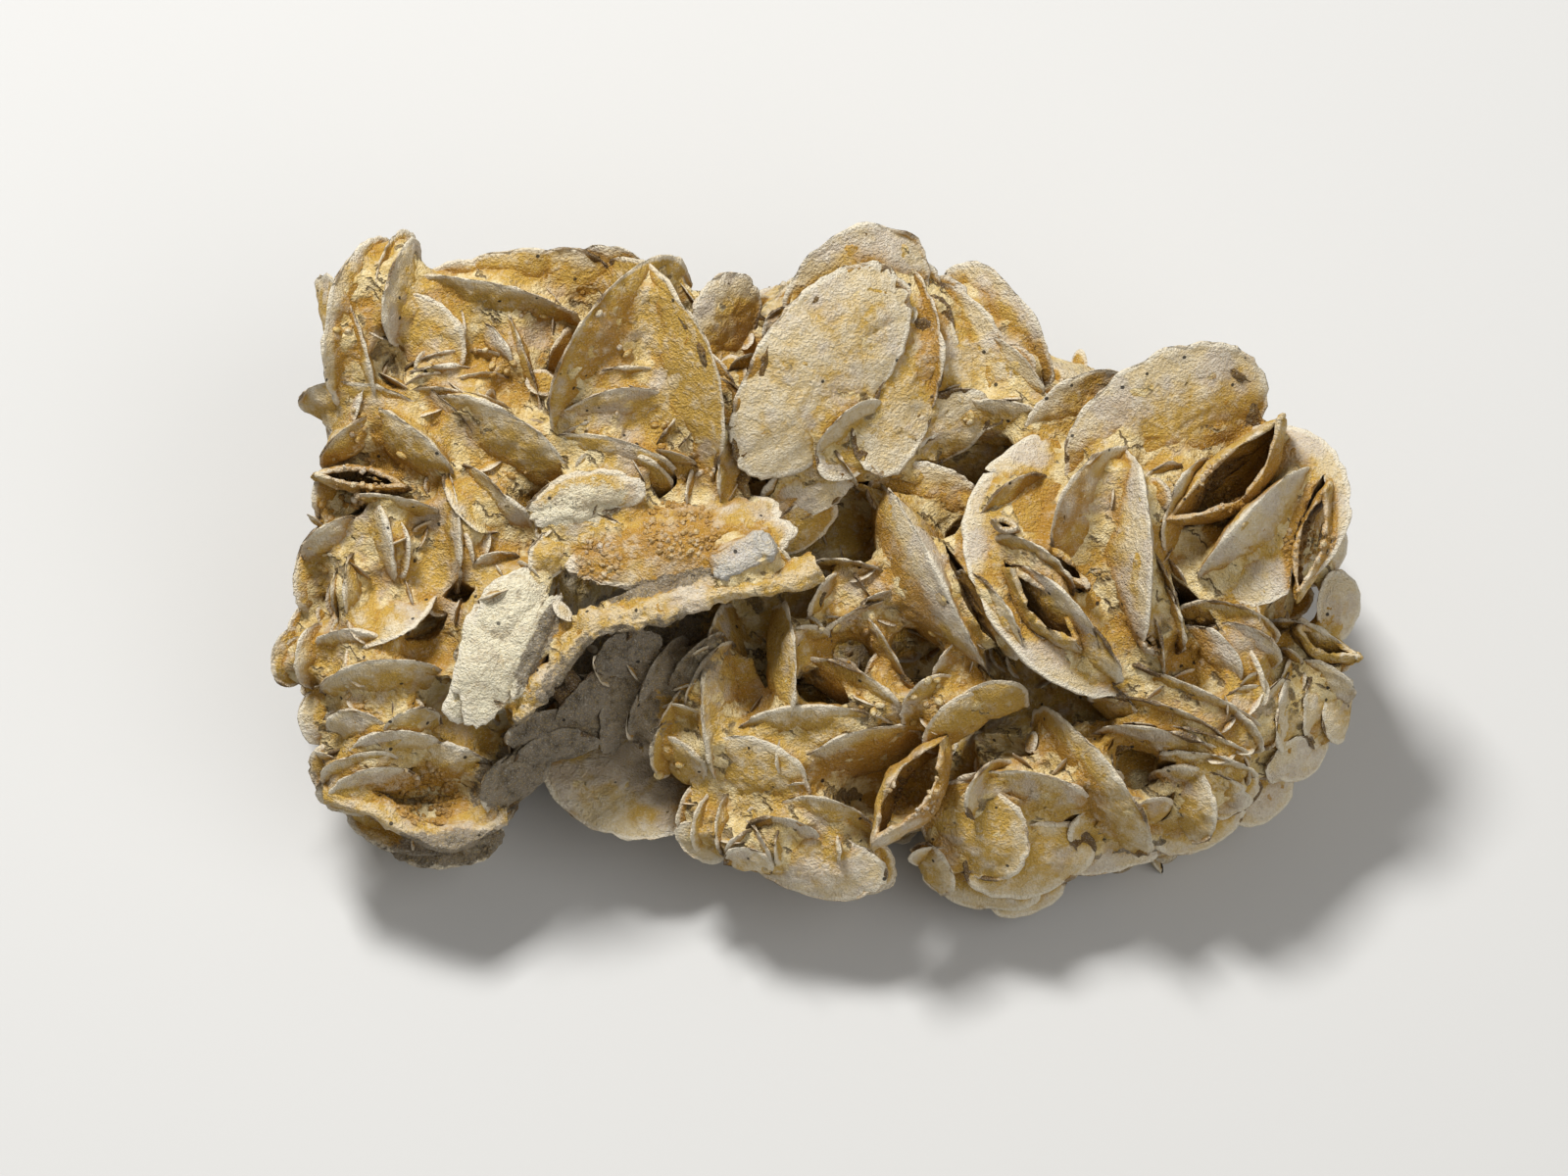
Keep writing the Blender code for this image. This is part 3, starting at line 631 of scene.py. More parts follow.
LEFT_FACE = (
    (-41.8, 13.5, 11.4, -40, 72, 6.0, 5.4, 2.8),
    (-32.7, 13.0, 12.4, -34, 60, 9.4, 7.5, 3.2),
    (-39.6, 15.2, 9.6, -42, 60, 6.8, 6.0, 1.8),
    (-47.8, 13.8, 9.4, 40, 70, 4.0, 3.8, 2.0),
    (-35.3, 7.9, 10.6, -50, -60, 4.4, 4.2, 1.6),
    (-37.9, 5.0, 10.6, -84, 76, 6.8, 5.8, 1.6),
    (-34.5, 8.3, 10.6, -46, 64, 4.0, 4.2, 1.0),
    (-32.3, 6.3, 10.2, -36, 62, 3.6, 4.0, 1.2),
    (-43.2, 7.0, 10.4, -9, 70, 4.6, 3.6, 0.8),
    (-44.9, 4.5, 10.0, -74, 76, 5.4, 5.0, 2.0),
    (-43.6, 3.1, 9.6, -80, 60, 3.4, 4.0, 1.4),
    (-37.0, 3.1, 9.8, -72, 68, 3.4, 4.0, 1.2),
    (-32.9, 0.9, 9.8, 16, 60, 2.8, 3.6, 1.0),
    (-47.5, -1.0, 9.6, 88, 78, 3.8, 3.8, 1.2),
    (-48.8, -1.1, 8.8, 84, 76, 2.8, 3.2, 1.0),
    (-43.6, -3.6, 10.0, 32, -58, 5.0, 4.6, 2.2),
    (-46.7, -7.6, 9.0, -12, 60, 5.0, 4.4, 1.6),
    (-44.4, -10.4, 9.8, 4, 66, 6.8, 5.4, 2.6),
    (-49.5, 4.0, 8.8, 30, 66, 4.0, 3.8, 1.6),
    (-51.4, -7.9, 7.0, 80, 62, 3.6, 4.4, 1.8),
    (-54.0, -8.0, 4.6, 78, 44, 3.2, 2.8, 1.4),
    (-50.6, -13.4, 3.0, 64, 28, 3.6, 3.0, 2.2),
    (-52.4, -6.5, 3, 82, 40, 4.4, 3.0, 2.2),
    (-51.4, 1.0, 5, 76, 42, 4.6, 3.0, 2.0),
    (-49.6, 9.0, 6, 70, 50, 3.4, 3.0, 1.8),
    (-47.2, -15.5, 7.4, -16, 52, 3.4, 3.6, 1.4),
    (-41.6, -15.2, 7.8, 24, 54, 3.2, 3.4, 1.4),
    (-43.4, -17.2, 7.0, 6, 60, 4.6, 3.6, 1.0),
)
left_face = grow_group("left_face_blades", LEFT_FACE, calcite_finish("left_stone", 0.1, 0.6, 0.6, marks=True))


# ---------------------------------------------------------------------------------------------------------------
# The druse shelf: a slab of crusted stone whose ragged lip overhangs a dark hollow. The lip is a short section
# drawn along a crooked line, and a split block of grey calcite lies on the slab.

def sweep(name, path, section, cuts):
    """A band: section steps (du, dv, dw) drawn along a path of (u, v, w) points of the show face."""
    bpy.ops.object.select_all(action="DESELECT")
    bpy.ops.mesh.primitive_plane_add(size=MM)
    band = bpy.context.object
    band.name = name
    face = SHOW.to_3x3()
    bpy.ops.object.mode_set(mode="EDIT")
    bpy.ops.mesh.select_all(action="SELECT")
    bpy.ops.mesh.merge(type="CENTER")
    bpy.ops.transform.translate(value=SHOW @ (Vector(path[0]) * MM))
    for before, after in zip(path, path[1:]):
        step = face @ ((Vector(after) - Vector(before)) * MM)
        bpy.ops.mesh.extrude_region_move(TRANSFORM_OT_translate={"value": step})
    bpy.ops.mesh.select_all(action="SELECT")
    for step in section:
        bpy.ops.mesh.extrude_region_move(TRANSFORM_OT_translate={"value": face @ (Vector(step) * MM)})
    bpy.ops.mesh.select_all(action="SELECT")
    bpy.ops.mesh.remove_doubles(threshold=1e-6)
    bpy.ops.mesh.normals_make_consistent(inside=False)
    bpy.ops.mesh.subdivide(number_cuts=cuts)
    bpy.ops.object.mode_set(mode="OBJECT")
    apply_modifier(band, "soften", "SMOOTH", factor=0.5, iterations=6)
    return band


SHELF_PATH = (
    (-31.6, -14.0, 9.0), (-30.2, -12.5, 10.4), (-28.2, -10.4, 11.2), (-26.6, -8.5, 11.6), (-25.0, -6.4, 12.0),
    (-23.2, -4.6, 12.4), (-20.4, -4.0, 12.6), (-17.0, -3.4, 12.8), (-14.4, -1.8, 13.0), (-11.0, -1.0, 13.0),
    (-7.0, -0.2, 12.8), (-3.0, 0.6, 12.0), (-0.6, 1.6, 10.6),
)
LIP_SECTION = ((0.4, -0.7, 0.2), (0.2, -0.7, -0.5), (-0.2, -0.1, -0.9), (-0.6, 1.1, -1.1), (-0.5, 1.4, 0.4),
               (0.3, 0.2, 1.0), (0.4, -1.2, 0.9))
lip = sweep("shelf_lip", SHELF_PATH, LIP_SECTION, 5)
roughen(lip, 3.0, 1.8)
roughen(lip, 1.3, 1.1)
roughen(lip, 0.6, 0.4)
lip_stone = calcite_finish("lip_stone", clay=0.15, warmth=0.7, pale=0.9, marks=True)
shelf_lip = finish_piece(lip, lip_stone)

SHELF = (
    (-14.0, 3.6, 11.6, 10, -16, 12.0, 4.6, 4.0),
    (-23.6, 3.4, 10.4, -20, 20, 4.6, 3.6, 3.0),
    (-24.0, 8.2, 11.4, 12, 18, 6.2, 2.6, 2.4),
    (-27.6, 2.4, 11.0, 70, 20, 2.6, 2.2, 2.4),
)
shelf = grow_group("druse_shelf", SHELF, calcite_finish("druse_stone", warmth=1.0, pale=0.4, marks=True), 2.0)


def stone_block(name, u, v, w, strike, size, finish):
    """A small rough block that lies on the show face: a bevelled box, broken up by noise."""
    bpy.ops.object.select_all(action="DESELECT")
    bpy.ops.mesh.primitive_cube_add(size=MM)
    block = bpy.context.object
    block.name = name
    bpy.ops.object.mode_set(mode="EDIT")
    bpy.ops.mesh.select_all(action="SELECT")
    bpy.ops.mesh.bevel(offset=0.22 * MM, segments=2, affect="EDGES")
    bpy.ops.mesh.select_all(action="SELECT")
    bpy.ops.mesh.subdivide(number_cuts=3)
    bpy.ops.object.mode_set(mode="OBJECT")
    turn = SHOW.to_3x3() @ Matrix.Rotation(math.radians(strike), 3, "Z")
    centre = SHOW @ (Vector((u, v, w)) * MM)
    set_points(block, points_of(block) * np.array(size) @ np.array(turn).T + np.array(centre))
    roughen(block, 2.2, 1.6)
    roughen(block, 0.7, 0.6)
    return finish_piece(block, finish)


grey_stone = calcite_finish("grey_stone", clay=0.2, warmth=0.0, pale=0.7, face=QUARTZ, flank=LILAC)
grey_block = stone_block("split_block", -8.2, 2.3, 12.2, 22, (6.6, 3.4, 3.0), grey_stone)


# ---------------------------------------------------------------------------------------------------------------
# The chalk: a smooth patch of pale dried clay, ground flat, with a grey band along its right side.

chalk_stone = calcite_finish("chalk_stone", 0.0, 0.0, 1.0, CHALK, CLAY, marks=True)
CHALK_PATCH = (
    (-31.6, -3.8, 11.4, 56, 10, 5.2, 3.4, 2.0),
    (-33.8, -8.4, 11.2, 78, 8, 6.4, 3.4, 2.2),
    (-30.4, -6.8, 11.2, 66, 12, 6.2, 2.4, 2.0),
    (-35.6, -11.8, 10.0, 52, 18, 3.2, 2.2, 1.8),
    (-25.8, 6.8, 11.2, 22, 10, 3.6, 2.0, 1.6),
    (-22.2, 8.4, 11.2, 4, 12, 3.6, 2.0, 1.6),
)
chalk = grow_group("chalk_patch", CHALK_PATCH, chalk_stone, 2.6)
BAND = (
    (-28.8, -6.6, 11.0, 66, 24, 5.6, 1.6, 1.8),
    (-19.8, -7.6, 8.0, 30, 30, 3.6, 2.6, 2.0),
    (-23.8, -12.6, 6.6, 46, 40, 4.6, 2.6, 2.0),
    (-20.2, -13.6, 4.8, 66, 60, 4.6, 4.4, 1.6),
    (-28.4, -15.4, 6.4, 20, 44, 4.2, 2.6, 1.6),
    (-27.0, -17.4, 5.4, 14, 50, 4.4, 3.0, 1.4),
    (-31.0, -20.6, 3.6, 40, 46, 4.2, 2.6, 1.6),
)
marl_stone = calcite_finish("marl_stone", 0.0, 0.5, 0.1, MARL, DARK_MARL, marks=True)
marl = grow_group("marl_blades", BAND, marl_stone, 2.0)


# ---------------------------------------------------------------------------------------------------------------
# The fan: thin discs stacked like fallen cards, the clearest faces of the cluster.

FAN = (
    (-0.4, 20.8, 14.4, 53, 20, 12.8, 6.8, 1.8),
    (3.4, 29.0, 10.4, 30, 24, 8.0, 6.4, 2.0),
    (3.6, 15.6, 10.8, 60, 20, 6.4, 4.0, 0.9),
    (7.4, 18.2, 10.4, 72, 22, 8.4, 4.4, 0.9),
    (10.0, 20.6, 9.2, 80, 24, 8.0, 4.0, 0.9),
    (7.4, 24.0, 10.2, 80, 26, 8.8, 6.2, 1.4),
    (7.9, 23.8, 9.8, -82, 54, 8.8, 7.0, 1.2),
    (10.6, 22.6, 7.6, 78, 28, 8.4, 5.8, 1.4),
    (14.2, 22.6, 6.6, -66, 28, 8.0, 4.8, 1.4),
    (17.6, 25.4, 4.4, -54, 36, 8.0, 4.6, 1.8),
    (18.4, 20.0, 8.0, -50, 58, 6.0, 5.4, 1.6),
    (17.8, 15.2, 7.4, -8, 56, 6.2, 5.0, 1.6),
    (11.4, 15.0, 7.8, 30, 30, 6.4, 3.8, 1.0),
    (10.2, 8.4, 6.8, -10, 26, 6.0, 3.6, 1.4),
    (2.7, 14.8, 12.6, 40, 62, 4.4, 3.8, 0.8),
    (1.3, 11.7, 10.2, -52, 82, 3.4, 4.0, 0.5),
    (-1.6, 9.0, 8.8, 26, 24, 5.4, 3.0, 1.0),
    (-2.4, 5.2, 7.6, 34, 40, 4.4, 2.8, 1.0),
    (-9.8, 26.6, 8.8, 70, 38, 4.6, 4.2, 1.4),
    (-3.8, 25.2, 11.0, 40, 34, 2.6, 2.6, 0.9),
    (-8.8, 16.4, 11.4, -52, 64, 4.8, 4.6, 1.4),
    (-5.9, 18.0, 12.0, -70, 64, 3.8, 4.2, 1.2),
    (-11.1, 19.7, 10.4, -62, 62, 3.6, 4.0, 1.0),
    (-6.9, 20.7, 10.8, 14, 58, 3.2, 3.6, 0.9),
    (-7.0, 13.7, 11.0, -48, 60, 3.4, 3.8, 1.0),
)
fan = grow_group("fan_discs", FAN, calcite_finish("fan_stone", warmth=0.42, pale=0.7))


# ---------------------------------------------------------------------------------------------------------------
# The hollow in the middle: a big ridge blade, an upright one, and thin leaves that cross below them.

HOLLOW_MIDDLE = (
    (10.4, -0.4, 13, -60, 82, 11.6, 9.0, 4.4),
    (2.8, 0.8, 8.6, -10, 76, 3.8, 4.0, 0.5),
    (3.5, -0.9, 8.0, -56, 80, 2.4, 3.0, 0.5),
    (5.5, -2.3, 8.4, 24, 76, 2.2, 3.0, 0.5),
    (3.7, -4.7, 7.8, 26, 66, 5.0, 4.0, 0.9),
    (5.5, -7.0, 8.0, -57, 78, 5.2, 5.0, 1.0),
    (3.1, -11.9, 8.0, -31, 60, 6.4, 5.0, 1.2),
    (-4.3, -8.7, 10.0, -88, 74, 6.4, 5.6, 1.4),
    (0.9, -2.4, 8.0, 60, 60, 3.6, 4.0, 0.9),
    (-1.9, -6.5, 8.4, 10, 60, 2.8, 3.4, 0.7),
    (-10.2, -12.0, 7.4, 89, 74, 9.6, 7.6, 3.4),
    (-12.8, -8.5, 8.2, 46, 72, 4.0, 4.4, 0.9),
    (-11.6, -9.9, 7.8, 58, 72, 4.2, 4.4, 0.9),
    (-14.1, -13.0, 6.4, 52, 72, 4.6, 4.4, 0.9),
    (-16.0, -9.8, 7.4, 60, 68, 4.4, 4.4, 1.2),
    (-17.7, -12.5, 5.8, 70, 72, 4.2, 4.4, 1.2),
    (-15.0, -16.4, 5.0, 64, 60, 4.2, 4.4, 1.2),
    (-14.7, -18.7, 5.0, -40, 60, 3.4, 4.0, 1.2),
    (10.8, -12.4, 8.6, 38, 56, 3.6, 4.0, 1.4),
    (13.9, -14.8, 8.8, 34, 50, 4.2, 4.2, 1.6),
    (13.7, -8.7, 8.4, 50, 60, 3.4, 4.0, 1.0),
    (17.1, -12.9, 8.6, 16, 50, 3.8, 4.0, 1.4),
)
middle_stone = calcite_finish("middle_stone", clay=0.05, warmth=0.75, pale=0.35, marks=True)
middle = grow_group("middle_blades", HOLLOW_MIDDLE, middle_stone)


# ---------------------------------------------------------------------------------------------------------------
# The lower middle: fat lenses under the hollow, the face-on disc at the bottom edge, and a heap of thin shards.

BOTTOM_MIDDLE = (
    (-0.8, -15.4, 8.4, 3, 66, 8.8, 6.4, 3.2),
    (-6.8, -20.4, 7.0, -30, 40, 6.2, 5.2, 2.0),
    (3.4, -18.4, 7.0, 17, 62, 7.4, 6.0, 2.0),
    (0.3, -25.0, 6.6, -14, 56, 5.4, 4.8, 1.6),
    (-0.8, -29.0, 3.8, -14, 22, 7.6, 3.8, 2.0),
    (-3.6, -26.2, 3.6, -22, 30, 5.0, 3.4, 1.4),
    (2.0, -28.8, 2.2, -14, 24, 5.8, 3.8, 2.4),
    (-20.0, -21.0, -2.6, -12, -24, 8.8, 6.2, 2.0),
    (-12.0, -23.4, 1.4, 60, 40, 3.8, 3.4, 1.8),
    (-11.9, -24.8, 3.4, 74, 66, 3.2, 3.4, 1.0),
    (-9.5, -25.0, 3.8, 82, 64, 3.6, 3.4, 1.0),
    (-12.4, -27.0, 1.4, -30, 34, 3.0, 2.2, 1.0),
    (-4.1, -25.8, 6.2, -10, 58, 3.8, 3.0, 0.5),
    (-7.6, -29.0, 4.6, -14, 50, 2.6, 2.6, 0.5),
    (-6.7, -26.7, 5.6, -60, 78, 2.4, 3.0, 0.5),
    (-4.3, -26.9, 5.8, 84, 78, 2.2, 3.0, 0.5),
    (-7.9, -27.1, 4.6, 30, 60, 2.2, 2.6, 0.5),
    (1.3, -27.4, 5.4, -86, 80, 1.6, 2.4, 0.4),
)
bottom_middle = grow_group("lower_blades", BOTTOM_MIDDLE, calcite_finish("lower_stone", warmth=0.68, pale=0.55))


# ---------------------------------------------------------------------------------------------------------------
# The right rose: a wide disc behind, two dish-like discs with raised rims, and a crowd of upright lenses in them.

DISHES = (
    (26.6, 1.6, 12.6, -58, -22, 14.2, 12.6, 4.6),
    (43.6, 6.2, 10.4, 42, -16, 10.4, 8.6, 4.0),
)
dice = random.Random("dishes")
dishes = [lens_copy(f"dish_{i}", row, dice, 0.6, DISH_MASTER) for i, row in enumerate(DISHES)]
for dish in dishes:
    carve(dish)
rose_dishes = join("rose_dishes", dishes)
roughen(rose_dishes, 3.4, 0.5)
roughen(rose_dishes, 0.9, 0.16)
rose_stone = calcite_finish("rose_stone", warmth=0.55, pale=0.6)
finish_piece(rose_dishes, rose_stone)

RIGHT_ROSE = (
    (34.6, 14.8, 11.4, 32, 24, 11.6, 8.2, 2.2),
    (26.0, 16.8, 8.0, 30, 36, 6.0, 4.4, 1.6),
    (19.1, 7.3, 11.4, 42, 56, 4.6, 4.0, 1.2),
    (27.0, 7.0, 15.4, 64, 56, 6.8, 6.4, 1.8),
    (30.4, 2.6, 17.0, -87, 74, 10.2, 8.0, 2.8),
    (21.2, 1.1, 15.6, -38, 66, 5.0, 4.6, 0.9),
    (23.0, -3.5, 15.8, -46, 66, 6.6, 5.4, 1.3),
    (16.8, -3.6, 14.2, -56, 70, 5.4, 5.0, 1.0),
    (25.5, -6.8, 14.6, -48, 62, 5.8, 5.0, 1.4),
    (33.1, 0.3, 14.4, -62, 78, 5.2, 5.0, 0.6),
    (34.3, -3.0, 13.4, -68, 78, 5.0, 4.8, 0.7),
    (32.3, -5.2, 13.6, -70, 76, 5.0, 4.8, 0.9),
    (36.5, 7.2, 13.6, 66, 66, 5.4, 5.0, 1.2),
    (34.0, 8.9, 12.6, 40, 56, 3.6, 4.0, 1.0),
    (43.6, 5.0, 15.0, 45, 72, 8.0, 6.6, 3.0),
    (47.6, 7.0, 7.4, 80, 34, 6.8, 4.6, 1.8),
    (40.8, -4.8, 11.0, -14, 60, 5.4, 4.6, 1.2),
    (42.2, -7.0, 10.4, -22, 60, 4.4, 4.4, 1.2),
    (39.1, -8.0, 10.2, -50, 56, 4.0, 4.0, 1.4),
    (41.9, -9.8, 9.0, -70, 56, 4.0, 4.0, 1.4),
    (42.4, -13.2, 9.0, 20, 50, 3.4, 3.6, 1.4),
)
right_rose = grow_group("rose_blades", RIGHT_ROSE, rose_stone)


# ---------------------------------------------------------------------------------------------------------------
# The right edge: small rounded blades with drawn-in faces, and upright ribs below them.

RIGHT_EDGE = (
    (51.0, 2.4, 3.0, 60, 40, 3.4, 2.8, 1.8),
    (52.4, -2.8, 3.4, 84, 36, 3.8, 2.8, 1.8),
    (49.1, -7.0, 6.2, -24, 60, 5.0, 4.4, 1.4),
    (50.7, -10.6, 5.0, -30, 60, 3.8, 3.6, 1.2),
    (50.8, -12.8, 4.4, 82, 60, 4.6, 4.2, 1.4),
    (47.6, -12.8, 6.4, 82, 66, 4.8, 4.6, 1.4),
    (47.3, -13.6, 7.2, 84, 70, 4.2, 4.4, 1.0),
    (52.8, -13.4, 2.4, 80, 50, 3.4, 3.2, 1.4),
    (48.8, -17.4, 2.4, 60, 40, 3.8, 3.2, 1.8),
    (47.6, -18.5, 4.0, 40, 56, 3.2, 3.4, 1.2),
    (44.8, -21.8, -1.2, 50, 30, 4.2, 3.6, 1.8),
)
right_edge = grow_group("edge_blades", RIGHT_EDGE, calcite_finish("edge_stone", warmth=0.5, pale=0.8))


# ---------------------------------------------------------------------------------------------------------------
# The lower right: thin plates stacked below the rose, a long diagonal blade, and dark ledges along the bottom.

BOTTOM_RIGHT = (
    (35.6, -12.8, 11.0, -24, 60, 9.0, 4.8, 0.6),
    (34.1, -14.3, 10.8, -20, 70, 7.6, 4.6, 0.5),
    (33.8, -17.0, 10.4, -12, 66, 6.8, 4.4, 0.5),
    (38.0, -16.8, 9.8, -18, 72, 5.4, 4.2, 0.5),
    (40.5, -14.8, 9.6, -34, 62, 4.6, 4.0, 0.6),
    (38.8, -19.1, 9.2, -10, 70, 5.2, 4.0, 0.5),
    (38.1, -21.3, 7.4, -14, 60, 5.4, 4.0, 0.9),
    (28.4, -12.6, 9.8, -40, 62, 4.2, 4.0, 0.7),
    (41.0, -18.4, 7.4, -60, 64, 3.4, 3.6, 0.7),
    (45.5, -13.3, 8.2, 60, 62, 3.6, 3.8, 0.8),
    (26.8, -21.2, 9.8, -51, 66, 9.2, 7.6, 2.2),
    (36.4, -21.8, 7.0, -66, 58, 5.8, 5.0, 2.0),
    (20.2, -22.4, 8.0, -8, 60, 7.4, 6.0, 2.2),
    (15.4, -25.6, 6.0, -40, 32, 6.2, 5.4, 2.0),
    (33.1, -24.1, 6.4, 26, 60, 2.8, 3.4, 0.6),
    (41.8, -22.2, 3.8, 34, 44, 3.2, 2.6, 1.2),
    (21.0, -28.6, 2.8, 14, 30, 7.0, 4.4, 1.8),
    (29.0, -24.8, 3.6, 30, 40, 4.6, 3.4, 1.4),
    (30.0, -26.8, 1.4, 16, 34, 7.2, 3.8, 1.8),
    (38.8, -25.0, 0.8, 30, 34, 5.4, 3.2, 1.8),
    (16.0, -30.6, -1.0, -16, 30, 6.4, 3.8, 1.8),
    (21.0, -32.0, -3.4, 24, 30, 4.4, 3.0, 1.8),
    (16.7, -21.4, 8.4, 60, 60, 3.6, 4.0, 0.8),
    (11.0, -29.7, 3.4, -56, 56, 3.2, 3.4, 1.0),
)
bottom_right = grow_group("ledge_blades", BOTTOM_RIGHT, calcite_finish("ledge_stone", warmth=0.66, pale=0.5))


# ---------------------------------------------------------------------------------------------------------------
# The foot at the lower left: shelving ledges round an amber vug. The shelves are bands with wavy, crusted edges.

FOOT = (
    (-42.0, -19.2, 4.6, -4, 50, 9.0, 4.6, 2.0),
    (-45.2, -21.2, 2.0, 6, 36, 6.8, 3.8, 2.0),
    (-37.4, -23.2, 1.2, 8, -30, 6.6, 4.2, 2.0),
    (-41.4, -24.6, -1.2, -4, -34, 7.4, 4.6, 2.2),
    (-38.8, -26.6, -3.0, 6, -26, 6.0, 3.6, 2.4),
    (-49.2, -19.8, 2.0, -20, 30, 3.6, 3.2, 1.8),
    (-46.7, -19.6, 5.6, 10, 56, 4.4, 3.6, 1.0),
    (-45.6, -21.2, 5.2, 12, 56, 4.6, 3.6, 0.9),
    (-32.1, -20.9, 4.6, 56, 50, 3.6, 3.6, 1.2),
)
foot_stone = calcite_finish("foot_stone", clay=0.1, warmth=0.6, pale=0.8, marks=True)
foot = grow_group("foot_ledges", FOOT, foot_stone)
FOOT_SHELF = (
    (-51.0, -21.6, 2.6), (-48.6, -22.4, 3.2), (-45.6, -23.0, 3.6), (-43.0, -24.8, 3.6), (-40.2, -26.2, 3.2),
    (-37.4, -26.6, 2.8), (-34.6, -25.6, 2.2), (-32.0, -23.6, 1.6),
)
FOOT_SECTION = ((0.0, -0.9, 0.2), (0.0, -0.5, -0.7), (0.0, 0.5, -0.8), (0.0, 1.6, -0.6), (0.0, 1.0, 0.6),
                (0.0, -1.7, 1.3))
foot_lip = sweep("foot_lip", FOOT_SHELF, FOOT_SECTION, 5)
roughen(foot_lip, 2.6, 1.2)
roughen(foot_lip, 0.8, 0.4)
finish_piece(foot_lip, lip_stone)


# ---------------------------------------------------------------------------------------------------------------
# The back and the sides, which grew against the clay: blades of all sizes that stand on the core in all directions.
# They are kept wholly behind the show face.

BACK_SIZES = (4.0, 8.6)  # half lengths
SPILL = 1.2  # how far a blade may stand out of the solid's box
OUTWARD = SHOW.to_3x3() @ Vector((0, 0, 1))


def whole_surface(pieces):
    """A tree of the surfaces of all the pieces, for rays."""
    mesh = bmesh.new()
    for piece in pieces:
        mesh.from_mesh(piece.data)
    tree = BVHTree.FromBMesh(mesh)
    mesh.free()
    return tree


def sow(dice, ground, tries, wanted, spacing, chosen, covered):
    """Spots on the ground, apart by spacing: chosen(place, normal) picks them, and covered ones are left out."""
    spots = []
    faces = ground.data.polygons
    for _ in range(tries):
        face = faces[dice.randrange(len(faces))]
        if len(spots) == wanted:
            break
        if not chosen(face.center, face.normal):
            continue
        if any((face.center - spot).length < spacing * MM for spot, _ in spots):
            continue
        if covered.ray_cast(face.center - face.normal * 1.2 * MM, face.normal, 5.0 * MM)[0] is not None:
            continue
        spots.append((face.center.copy(), face.normal.copy()))
    return spots


def small_lens(name, dice, spot, normal, lengths, rise, master):
    """A lens that stands on a spot, its crest rise above it, turned any way."""
    half_length = dice.uniform(*lengths)
    size = (half_length, half_length * dice.uniform(0.7, 0.9), half_length * dice.uniform(0.28, 0.5))
    any_way = Vector((dice.gauss(0, 1), dice.gauss(0, 1), dice.gauss(0, 1))).normalized()
    up = (normal + 0.75 * any_way).normalized()
    along = up.orthogonal().normalized()
    along = Matrix.Rotation(dice.uniform(0, math.tau), 3, up) @ along
    centre = spot + normal * rise * MM - up * size[1] * MM
    return place_lens(name, master, size, centre, (along, up, along.cross(up)), dice, 1.0)


def behind(at, normal):
    """Whether a spot is on the sides or the back, clear of the resting face."""
    return normal.dot(OUTWARD) < 0.1 and at.z > 3.0 * MM and normal.z > -0.75


def keep_hidden(lenses, shown):
    """The lenses behind the cluster as seen from in front, inside the solid's box; removes the others."""
    low = np.array(cad_box[0]) - SPILL * MM
    high = np.array(cad_box[1]) + SPILL * MM
    hidden = []
    for lens in lenses:
        points = points_of(lens)
        inside = np.all(points > low) and np.all(points < high)
        if inside and all(shown.ray_cast(Vector(point), OUTWARD)[0] is not None for point in points[::5]):
            hidden.append(lens)
        else:
            bpy.data.objects.remove(lens)
    return hidden


crystal_groups = [
    left_corner, tent, left_face, shelf, shelf_lip, grey_block, chalk, marl, fan, middle, bottom_middle, rose_dishes,
    right_rose, right_edge, bottom_right, foot, foot_lip,
]
dice = random.Random("back")
lenses = [
    small_lens(f"back_{i}", dice, spot, normal, BACK_SIZES, dice.uniform(1.2, 3.4), BACK_MASTER)
    for i, (spot, normal) in enumerate(sow(dice, core, 24000, 420, 3.0, behind, whole_surface(crystal_groups)))
]
lenses = keep_hidden(lenses, whole_surface([core, *crystal_groups]))
back_blades = join("back_blades", lenses)
roughen(back_blades, 3.4, 0.8)
roughen(back_blades, 1.2, 0.3)
finish_piece(back_blades, calcite_finish("back_stone", clay=0.1, warmth=0.55, pale=0.6))
crystal_groups.append(back_blades)


# ---------------------------------------------------------------------------------------------------------------
# The mass that ties the crystals together: calcite and clay closed the gaps between them, so that the blades stand
# out of one crumbly lump. It is the core and all the blades swollen until their gaps meet, then drawn back.

MASS_SWELL = 0.9
MASS_DEPTH = 0.22  # how far it lies below the faces of the blades
MASS_GRAIN = 0.78
MASS_LUMPS = ((3.6, 0.9), (1.6, 0.8), (0.9, 0.5))  # size and height of its lumps, coarse to fine
FLAT_FOOT = 0.9  # what lies lower than this is part of the flat fracture
CHALK_PATCHES = ((-32.4, -7.4, 7.6, 3.8, 68), (-30.6, -2.4, 3.6, 3.0, 30), (-24.2, 7.4, 5.0, 2.2, 14))
RUST_PATCHES = (
    (-16.6, 2.6, 12.6, 3.6, 10), (-46.6, 10.0, 5.0, 2.0, -8), (-40.6, -21.6, 6.0, 3.0, 0), (9.4, -21.8, 7.0, 3.4, 56),
    (-22.6, 23.0, 7.6, 2.6, 60), (7.6, 0.4, 10.0, 2.2, -62), (49.0, 3.6, 6.6, 2.8, 74), (41.0, 9.8, 8.0, 2.6, 40),
    (24.0, 7.0, 5.0, 2.0, 64), (-47.4, 25.0, 6.6, 2.0, 80), (3.0, -19.0, 7.0, 2.4, 16), (26.0, -21.0, 8.0, 2.0, -51),
    (11.0, 26.0, 7.0, 2.0, 80),
)
